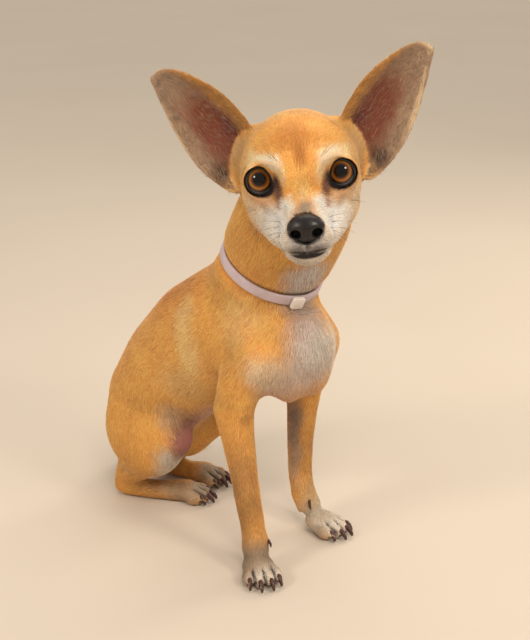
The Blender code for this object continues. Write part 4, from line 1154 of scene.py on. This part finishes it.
lid_skin = lid_material()
for side, sign in SIDES.items():
    rim = bmesh.new()
    place = Matrix.Scale(MM, 4) @ eye_frames[side]
    rows = []
    for step in range(LID_STEPS):
        angle = 2 * math.pi * step / LID_STEPS
        corner = max(0, math.cos(angle + INNER_CORNER * sign) * -sign) ** 10
        flat = Vector((LID_HALF[0] * math.cos(angle), 0, LID_HALF[1] * math.sin(angle))) * (1 + 0.16 * corner)
        thick = LID_RIM * (0.8 + 0.5 * max(0, math.sin(angle)) + 0.5 * corner)
        row = []
        for i in range(10):
            around = 2 * math.pi * i / 10
            spread_out = flat * (1 + thick * (0.7 + math.cos(around)) / flat.length)
            height = EYE_RADIUS + 0.25 + 0.6 * thick * (0.35 + math.sin(around))
            depth = math.sqrt(max(4, height ** 2 - spread_out.length_squared))
            row.append(rim.verts.new(place @ (spread_out + Vector((0, -depth, 0)))))
        rows.append(row)
    for row, after in zip(rows, rows[1:] + rows[:1]):
        for i in range(10):
            j = (i + 1) % 10
            rim.faces.new((row[i], row[j], after[j], after[i]))
    lid = from_bmesh("lid_rim_" + side, rim)
    lid.data.materials.append(lid_skin)
    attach(lid, "root")


# Nose. A blunt pad of bare, thick skin with a cobbled grain, black-brown and moist, with two round
# nostrils and a groove down its middle.

NOSE_VOXEL = 0.34
# Back and up from between the eyes: the middle of the pad, and each nostril out and up.
NOSE_MIDDLE = (-45.0, -21.6)
# Against the CAD pad: how much flatter and lower it is, and how far back it sits.
NOSE_FLATTER, NOSE_LOWER, NOSE_BACK = 0.86, 0.88, 0.8
NOSTRIL, NOSTRIL_RADIUS, NOSTRIL_DEPTH = (6.4, -24.4), 2.8, 6.0


def nose_material():
    """Nose leather: cobbled about every 0.7 mm, with a moist shine on the raised parts."""
    made, tree, shader = material("nose_leather")
    place = node(tree, "ShaderNodeTexCoord")
    cobbles = node(tree, "ShaderNodeTexVoronoi", {"Scale": 1 / (0.8 * MM)}, {"Vector": (place, "Object")})
    stain = node(tree, "ShaderNodeTexNoise", {"Scale": 1 / (5 * MM), "Detail": 3.0},
                 {"Vector": (place, "Object")})
    tint = node(tree, "ShaderNodeValToRGB", {}, {"Fac": (stain, "Fac")})
    tint.color_ramp.elements[0].color = (*linear("#0b0807"), 1)
    tint.color_ramp.elements[1].color = (*linear("#1f1613"), 1)
    hollow = node(tree, "ShaderNodeVertexColor", {"layer_name": "Nostrils"})
    shaded = node(tree, "ShaderNodeVectorMath", {"operation": "MULTIPLY"},
                  {0: (tint, "Color"), 1: (hollow, "Color")})
    bump = node(tree, "ShaderNodeBump", {"Strength": 0.5, "Distance": 0.12 * MM, "invert": True},
                {"Height": (cobbles, "Distance")})
    tree.links.new(shaded.outputs["Vector"], shader.inputs["Base Color"])
    tree.links.new(bump.outputs["Normal"], shader.inputs["Normal"])
    shader.inputs["Roughness"].default_value = 0.36
    shader.inputs["Specular IOR Level"].default_value = 0.4
    return made


pad = bmesh.new()
pad.from_mesh(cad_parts["nose"].data)
bmesh.ops.remove_doubles(pad, verts=pad.verts, dist=0.01 * MM)
hull = bmesh.ops.convex_hull(pad, input=pad.verts)
bmesh.ops.delete(pad, geom=hull["geom_interior"] + hull["geom_unused"], context="VERTS")
nose = from_bmesh("nose_pad", pad)
finer = nose.modifiers.new("Finer", "REMESH")
finer.mode = "VOXEL"
finer.voxel_size = NOSE_VOXEL * MM
baked(nose)
pad_points = read(nose.data, "vertices", "co", 3) / MM
pad_edges = read(nose.data, "edges", "vertices", 2, np.int32)
pad_points = seen_from(relaxed(pad_points, pad_edges, np.ones(len(pad_points)), 30), HEAD)
low = np.clip((NOSE_MIDDLE[1] - pad_points[:, 2]) / 9.6, 0, 1)
pad_points[:, 1] = NOSE_MIDDLE[0] + (pad_points[:, 1] - NOSE_MIDDLE[0]) * NOSE_FLATTER + NOSE_BACK
pad_points[:, 2] = np.where(low > 0, pad_points[:, 2],
                            NOSE_MIDDLE[1] + (pad_points[:, 2] - NOSE_MIDDLE[1]) * NOSE_LOWER)
pad_points[:, 0] *= 1 - 0.24 * low ** 1.3
pad_points[:, 1] += 1.2 * low
for sign in SIDES.values():
    reach = np.hypot(*(pad_points[:, [0, 2]] - (NOSTRIL[0] * sign, NOSTRIL[1])).T) / NOSTRIL_RADIUS
    pad_points[:, 1] += np.where(pad_points[:, 1] < NOSE_MIDDLE[0], NOSTRIL_DEPTH * np.exp(-(reach ** 4)), 0)
split = np.exp(-((pad_points[:, 0] / 0.7) ** 2)) * np.clip(low * 3, 0, 1)
pad_points[:, 1] += np.where(pad_points[:, 1] < NOSE_MIDDLE[0], 0.8 * split, 0)
nostril_shade = np.zeros(len(pad_points))
for sign in SIDES.values():
    reach = np.hypot(*(pad_points[:, [0, 2]] - (NOSTRIL[0] * sign, NOSTRIL[1])).T) / NOSTRIL_RADIUS
    nostril_shade = np.maximum(nostril_shade, np.clip((1.35 - reach) * 2, 0, 1))
set_points(nose.data, placed(pad_points, HEAD))
put_colour(nose.data, "Nostrils", 1 - 0.97 * nostril_shade[:, None] * np.ones((1, 3)))
nose.data.materials.clear()
nose.data.materials.append(nose_material())
nose.data.shade_smooth()
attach(nose, "root")
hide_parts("nose")


# Claws. Four long, curved, dark brown claws of horn on each paw, and a dew claw inside each
# foreleg. They grow from the last bone of each toe and reach the floor.

CLAW_LENGTH, CLAW_RADIUS = 5.8, 2.05
# Along the claw: share of its length, height above the floor, share of its radius.
CLAW_STATIONS = [(-0.4, 6.0, 0.9), (0.0, 7.2, 1.05), (0.35, 7.0, 1.0), (0.65, 5.5, 0.8),
                 (0.9, 3.4, 0.62), (1.0, 2.0, 0.4)]
DEW_STATIONS = [((7.0, 8.6, 26.0), 0.6), ((8.8, 7.4, 24.8), 0.65), ((9.8, 6.2, 22.6), 0.5), ((9.9, 5.4, 20.6), 0.2)]


def claw_material():
    """Claw horn: dark brown, lengthwise grain, dull gloss."""
    made, tree, shader = material("claw_horn")
    place = node(tree, "ShaderNodeTexCoord")
    grain = node(tree, "ShaderNodeTexNoise", {"Scale": 1 / (1.2 * MM), "Detail": 4.0},
                 {"Vector": (place, "Object")})
    tint = node(tree, "ShaderNodeValToRGB", {}, {"Fac": (grain, "Fac")})
    tint.color_ramp.elements[0].color = (*linear("#24130f"), 1)
    tint.color_ramp.elements[1].color = (*linear("#573028"), 1)
    tree.links.new(tint.outputs["Color"], shader.inputs["Base Color"])
    shader.inputs["Roughness"].default_value = 0.35
    return made


def add_claw(bm, stations, place):
    """A round tapered claw through stations of (point, radius)."""
    rings = []
    spots = [Vector(point) for point, _ in stations]
    for i, (point, radius) in enumerate(stations):
        path = (spots[min(i + 1, len(spots) - 1)] - spots[max(i - 1, 0)]).normalized()
        flat = Vector((1, 0, 0)) - path * path.x
        flat.normalize()
        basis = Matrix((flat, path.cross(flat), path)).transposed().to_4x4()
        size = Matrix.Diagonal((radius * 0.85, radius * 1.1, 1, 1))
        ring = bmesh.ops.create_circle(bm, segments=10, radius=1,
                                       matrix=place @ Matrix.Translation(spots[i]) @ basis @ size)
        rings.append(ring["verts"])
    for low, high in zip(rings, rings[1:]):
        for i in range(10):
            j = (i + 1) % 10
            bm.faces.new((low[i], low[j], high[j], high[i]))
    bm.faces.new(rings[0])
    bm.faces.new(rings[-1])


claw_horn = claw_material()
for paw, (spot, heading, width) in PAWS.items():
    place = Matrix.Scale(MM, 4) @ Matrix.Translation((*spot, 0)) @ Matrix.Rotation(math.radians(heading), 4, "Z")
    bm = bmesh.new()
    for toe_across, forward, splay, length in TOES:
        lean = math.radians(splay)
        root = Vector((toe_across * width, -forward - length + 3.5, 0))
        run = Vector((math.sin(lean), -math.cos(lean), 0)) * CLAW_LENGTH
        stations = [(root + run * reach + Vector((0, 0, height)), CLAW_RADIUS * size)
                    for reach, height, size in CLAW_STATIONS]
        add_claw(bm, stations, place)
    if paw.startswith("fore"):
        inward = 1 if paw.endswith("right") else -1
        add_claw(bm, [((x * inward, y, z), CLAW_RADIUS * size) for (x, y, z), size in DEW_STATIONS], place)
    claws = from_bmesh("claws_" + paw, bm)
    claws.data.materials.append(claw_horn)
    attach(claws, "root")


# Whiskers. Stiff tapered hairs in rows on the upper lip, from dark follicles, and a few above the
# eyes and on the cheeks. They sweep out and back.

WHISKER_RADIUS = 0.16
FOLLICLE_RADIUS = 0.28
# Root in the head's frame, which way it leaves, and its length.
WHISKERS = [
    ((16.5, -29, -20), (0.9, 0.5, 0.1), 17), ((17.5, -26, -24), (0.95, 0.5, -0.15), 20),
    ((18, -24, -28), (0.9, 0.45, -0.35), 19), ((16, -32, -28), (0.85, 0.4, -0.45), 16),
    ((14, -37, -25), (0.9, 0.2, 0.0), 12), ((14.5, -36, -30), (0.8, 0.25, -0.5), 13),
    ((11, -42, -28), (0.8, -0.1, -0.3), 8), ((17, -27, -31), (0.8, 0.45, -0.6), 15),
    ((14, -20, 16), (0.5, -0.35, 0.8), 11), ((17, -17, 17), (0.7, -0.25, 0.75), 10),
    ((31, -2, -18), (0.9, 0.4, -0.2), 12),
]


def whisker_material():
    """Whisker keratin: dark, smooth, a little glossy."""
    made, tree, shader = material("whisker_hair")
    place = node(tree, "ShaderNodeTexCoord")
    fade = node(tree, "ShaderNodeTexNoise", {"Scale": 1 / (6 * MM)}, {"Vector": (place, "Object")})
    tint = node(tree, "ShaderNodeValToRGB", {}, {"Fac": (fade, "Fac")})
    tint.color_ramp.elements[0].color = (*linear("#33241c"), 1)
    tint.color_ramp.elements[1].color = (*linear("#7a6352"), 1)
    tree.links.new(tint.outputs["Color"], shader.inputs["Base Color"])
    shader.inputs["Roughness"].default_value = 0.4
    return made


bm = bmesh.new()
place = Matrix.Scale(MM, 4) @ HEAD
for sign in SIDES.values():
    for start, way, length in WHISKERS:
        path = Vector(flip(way, sign)).normalized()
        spot = Vector(flip(start, sign)) - path * 1.5
        bmesh.ops.create_icosphere(bm, subdivisions=1, radius=FOLLICLE_RADIUS,
                                   matrix=place @ Matrix.Translation(flip(start, sign)))
        rings = []
        for step in range(7):
            share = step / 6
            basis = path.to_track_quat("Z", "Y").to_matrix().to_4x4()
            size = WHISKER_RADIUS * (1 - 0.85 * share)
            ring = bmesh.ops.create_circle(bm, segments=5, radius=size,
                                           matrix=place @ Matrix.Translation(spot) @ basis)
            rings.append(ring["verts"])
            spot = spot + path * (length / 6)
            path = (path + Vector((0, 0.05, -0.07))).normalized()
        for low, high in zip(rings, rings[1:]):
            for i in range(5):
                j = (i + 1) % 5
                bm.faces.new((low[i], low[j], high[j], high[i]))
        bm.faces.new(rings[0])
        bm.faces.new(rings[-1])
whiskers = from_bmesh("whiskers", bm)
whiskers.data.materials.append(whisker_material())
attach(whiskers, "root")


# Collar. A slim flat band of soft mauve leather, cut from sheet, with pared edges. It lies pressed
# into the coat low on the neck. A square slide of cream plastic covers where its ends overlap.

COLLAR_RADII = (35.2, 36.4)
BAND_EDGE = 0.7
BAND_STEPS = 120
SLIDE_HALF = (4.6, 4.6, 1.4)
SLIDE_ANGLE = -8.0

collar_place = Matrix.Scale(MM, 4) @ COLLAR_PLACE


def leather_material():
    """Smooth mauve collar leather: matte, with a fine pressed grain about 0.5 mm across."""
    made, tree, shader = material("collar_leather")
    place = node(tree, "ShaderNodeTexCoord")
    grain = node(tree, "ShaderNodeTexVoronoi", {"Scale": 1 / (0.55 * MM)}, {"Vector": (place, "Object")})
    wear = node(tree, "ShaderNodeTexNoise", {"Scale": 1 / (7 * MM), "Detail": 4.0},
                {"Vector": (place, "Object")})
    tint = node(tree, "ShaderNodeValToRGB", {}, {"Fac": (wear, "Fac")})
    tint.color_ramp.elements[0].color = (*linear("#a8959a"), 1)
    tint.color_ramp.elements[1].color = (*linear("#c6b5b8"), 1)
    bump = node(tree, "ShaderNodeBump", {"Strength": 0.25, "Distance": 0.06 * MM, "invert": True},
                {"Height": (grain, "Distance")})
    tree.links.new(tint.outputs["Color"], shader.inputs["Base Color"])
    tree.links.new(bump.outputs["Normal"], shader.inputs["Normal"])
    shader.inputs["Roughness"].default_value = 0.55
    return made


def slide_material():
    """Moulded cream plastic: satin, very slightly uneven."""
    made, tree, shader = material("slide_plastic")
    place = node(tree, "ShaderNodeTexCoord")
    haze = node(tree, "ShaderNodeTexNoise", {"Scale": 1 / (2.5 * MM), "Detail": 3.0},
                {"Vector": (place, "Object")})
    tint = node(tree, "ShaderNodeValToRGB", {}, {"Fac": (haze, "Fac")})
    tint.color_ramp.elements[0].color = (*linear("#d6c9bd"), 1)
    tint.color_ramp.elements[1].color = (*linear("#e9dfd6"), 1)
    tree.links.new(tint.outputs["Color"], shader.inputs["Base Color"])
    shader.inputs["Roughness"].default_value = 0.38
    return made


band_bm = bmesh.new()
section = bmesh.ops.create_grid(band_bm, x_segments=1, y_segments=1, size=1,
                                matrix=Matrix.Translation((36, 0, 0)) @ Matrix.Diagonal(
                                    (BAND_HALF_WALL, BAND_HALF_WIDTH, 1, 1)))
bmesh.ops.bevel(band_bm, geom=list(band_bm.verts), offset=BAND_EDGE, segments=3, profile=0.5,
                affect="VERTICES", material=-1)
loop_edges = [e for e in band_bm.edges if e.is_boundary]
face = band_bm.faces[:]
bmesh.ops.delete(band_bm, geom=face, context="FACES_ONLY")
bmesh.ops.spin(band_bm, geom=band_bm.edges[:], cent=(0, 0, 0), axis=(0, 1, 0), angle=2 * math.pi,
               steps=BAND_STEPS, use_merge=True)
bmesh.ops.remove_doubles(band_bm, verts=band_bm.verts, dist=0.001)
for vert in band_bm.verts:
    radial = Vector((vert.co.x, vert.co.z))
    outward = radial.length - 36
    angle = math.atan2(vert.co.z, vert.co.x)
    vert.co = Vector(((COLLAR_RADII[0] + outward) * math.cos(angle), vert.co.y,
                      (COLLAR_RADII[1] + outward) * math.sin(angle)))
bmesh.ops.transform(band_bm, matrix=collar_place, verts=band_bm.verts)
band = from_bmesh("collar_strap", band_bm)
band.data.materials.append(leather_material())
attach(band, "root")
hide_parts("collar_band")

angle = math.radians(SLIDE_ANGLE - 90)
outward = Vector((math.cos(angle), 0, math.sin(angle)))
reach = BAND_HALF_WALL + 0.3 + SLIDE_HALF[2]
seat = Vector((COLLAR_RADII[0] * outward.x, 0, COLLAR_RADII[1] * outward.z)) + outward * reach
slide_bm = bmesh.new()
bmesh.ops.create_cube(slide_bm, size=2, matrix=Matrix.Diagonal((*SLIDE_HALF, 1)))
upright = [e for e in slide_bm.edges if abs((e.verts[0].co - e.verts[1].co).z) > 1]
bmesh.ops.bevel(slide_bm, geom=upright, offset=1.7, segments=5, profile=0.5, affect="EDGES", material=-1)
flat_edges = [e for e in slide_bm.edges if abs(e.verts[0].co.z - e.verts[1].co.z) < 0.01]
bmesh.ops.bevel(slide_bm, geom=flat_edges, offset=0.55, segments=3, profile=0.5, affect="EDGES", material=-1)
bmesh.ops.transform(slide_bm, verts=slide_bm.verts,
                    matrix=collar_place @ Matrix.Translation(seat)
                    @ Matrix.Rotation(math.radians(-SLIDE_ANGLE), 4, "Y"))
slide = from_bmesh("collar_slide_square", slide_bm)
slide.data.materials.append(slide_material())
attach(slide, "root")
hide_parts("collar_slide")


# Studio. A plain pale floor, two soft boxes beside the camera and a weaker one behind, and a
# camera where the photographer's stood, at the height of the dog's head and a little above.

CAMERA = Vector((-600.1, -754.8, 473.8))
LENS, SENSOR = 80.0, 36.0
CAMERA_HEADING, CAMERA_DROP = 40.0, 18.0
FLOOR_RADIUS = 9.0


def floor_material():
    """Matte painted board: pale, warm, with a faint unevenness."""
    made, tree, shader = material("floor_board")
    place = node(tree, "ShaderNodeTexCoord")
    cloud = node(tree, "ShaderNodeTexNoise", {"Scale": 3.0, "Detail": 3.0}, {"Vector": (place, "Object")})
    tint = node(tree, "ShaderNodeValToRGB", {}, {"Fac": (cloud, "Fac")})
    tint.color_ramp.elements[0].color = (*linear("#bfb3a4"), 1)
    tint.color_ramp.elements[1].color = (*linear("#c6bbad"), 1)
    tree.links.new(tint.outputs["Color"], shader.inputs["Base Color"])
    shader.inputs["Roughness"].default_value = 0.8
    return made


floor_bm = bmesh.new()
bmesh.ops.create_circle(floor_bm, segments=96, radius=FLOOR_RADIUS, cap_ends=True)
floor = from_bmesh("studio_floor", floor_bm, smooth=False)
if floor.data.polygons[0].normal.z < 0:
    floor.data.flip_normals()
floor.data.materials.append(floor_material())

drop, heading = math.radians(CAMERA_DROP), math.radians(CAMERA_HEADING)
aim = Vector((math.sin(heading) * math.cos(drop), math.cos(heading) * math.cos(drop), -math.sin(drop)))
camera = bpy.data.objects.new("camera", bpy.data.cameras.new("camera"))
camera.data.lens = LENS
camera.data.sensor_width = SENSOR
camera.location = CAMERA * MM
camera.rotation_euler = aim.to_track_quat("-Z", "Y").to_euler()
bpy.context.scene.collection.objects.link(camera)
bpy.context.scene.camera = camera

sideways = aim.cross(Vector((0, 0, 1))).normalized()
towards_camera = -Vector((aim.x, aim.y, 0)).normalized()
# Right of the camera, towards it, height, side of the soft box, power and colour.
LIGHTS = [
    ("soft_box_right", 0.75, 0.85, 1.00, 0.28, 7.0, "#fff6ea"),
    ("soft_box_left", -0.85, 0.75, 0.85, 0.28, 6.0, "#fff6ea"),
    ("soft_box_top", 0.15, -0.35, 1.25, 0.90, 4.0, "#fff9f0"),
    ("soft_box_back", 0.80, -0.80, 0.75, 0.45, 4.0, "#ffefd8"),
]
for name, right, near, height, size, power, colour in LIGHTS:
    lamp = bpy.data.lights.new(name, "AREA")
    lamp.shape = "SQUARE"
    lamp.size = size
    lamp.energy = power
    lamp.color = linear(colour)
    box = bpy.data.objects.new(name, lamp)
    box.location = sideways * right + towards_camera * near + Vector((0, 0, height))
    box.rotation_euler = (Vector((0, 0, 0.18)) - box.location).to_track_quat("-Z", "Y").to_euler()
    bpy.context.scene.collection.objects.link(box)

# A wide lamp far off, high on the camera's right, gives the main light.
SUN_WIDTH, SUN_STRENGTH = 22.0, 1.5
sun = bpy.data.lights.new("wide_lamp", "SUN")
sun.angle = math.radians(SUN_WIDTH)
sun.energy = SUN_STRENGTH
sun.color = linear("#fff3e2")
far_lamp = bpy.data.objects.new("wide_lamp", sun)
lamp_way = sideways * 0.15 + towards_camera * 0.9 + Vector((0, 0, 0.95))
far_lamp.rotation_euler = (-lamp_way).to_track_quat("-Z", "Y").to_euler()
bpy.context.scene.collection.objects.link(far_lamp)
# It lights the coat and is not mirrored in the eyes, where the soft boxes show.
far_lamp.visible_glossy = False

world = bpy.data.worlds.new("studio")
bpy.context.scene.world = world
world.use_nodes = True
world.node_tree.nodes["Background"].inputs["Color"].default_value = (*linear("#e9e2d8"), 1)
world.node_tree.nodes["Background"].inputs["Strength"].default_value = 0.74
bpy.context.scene.view_settings.view_transform = "Standard"
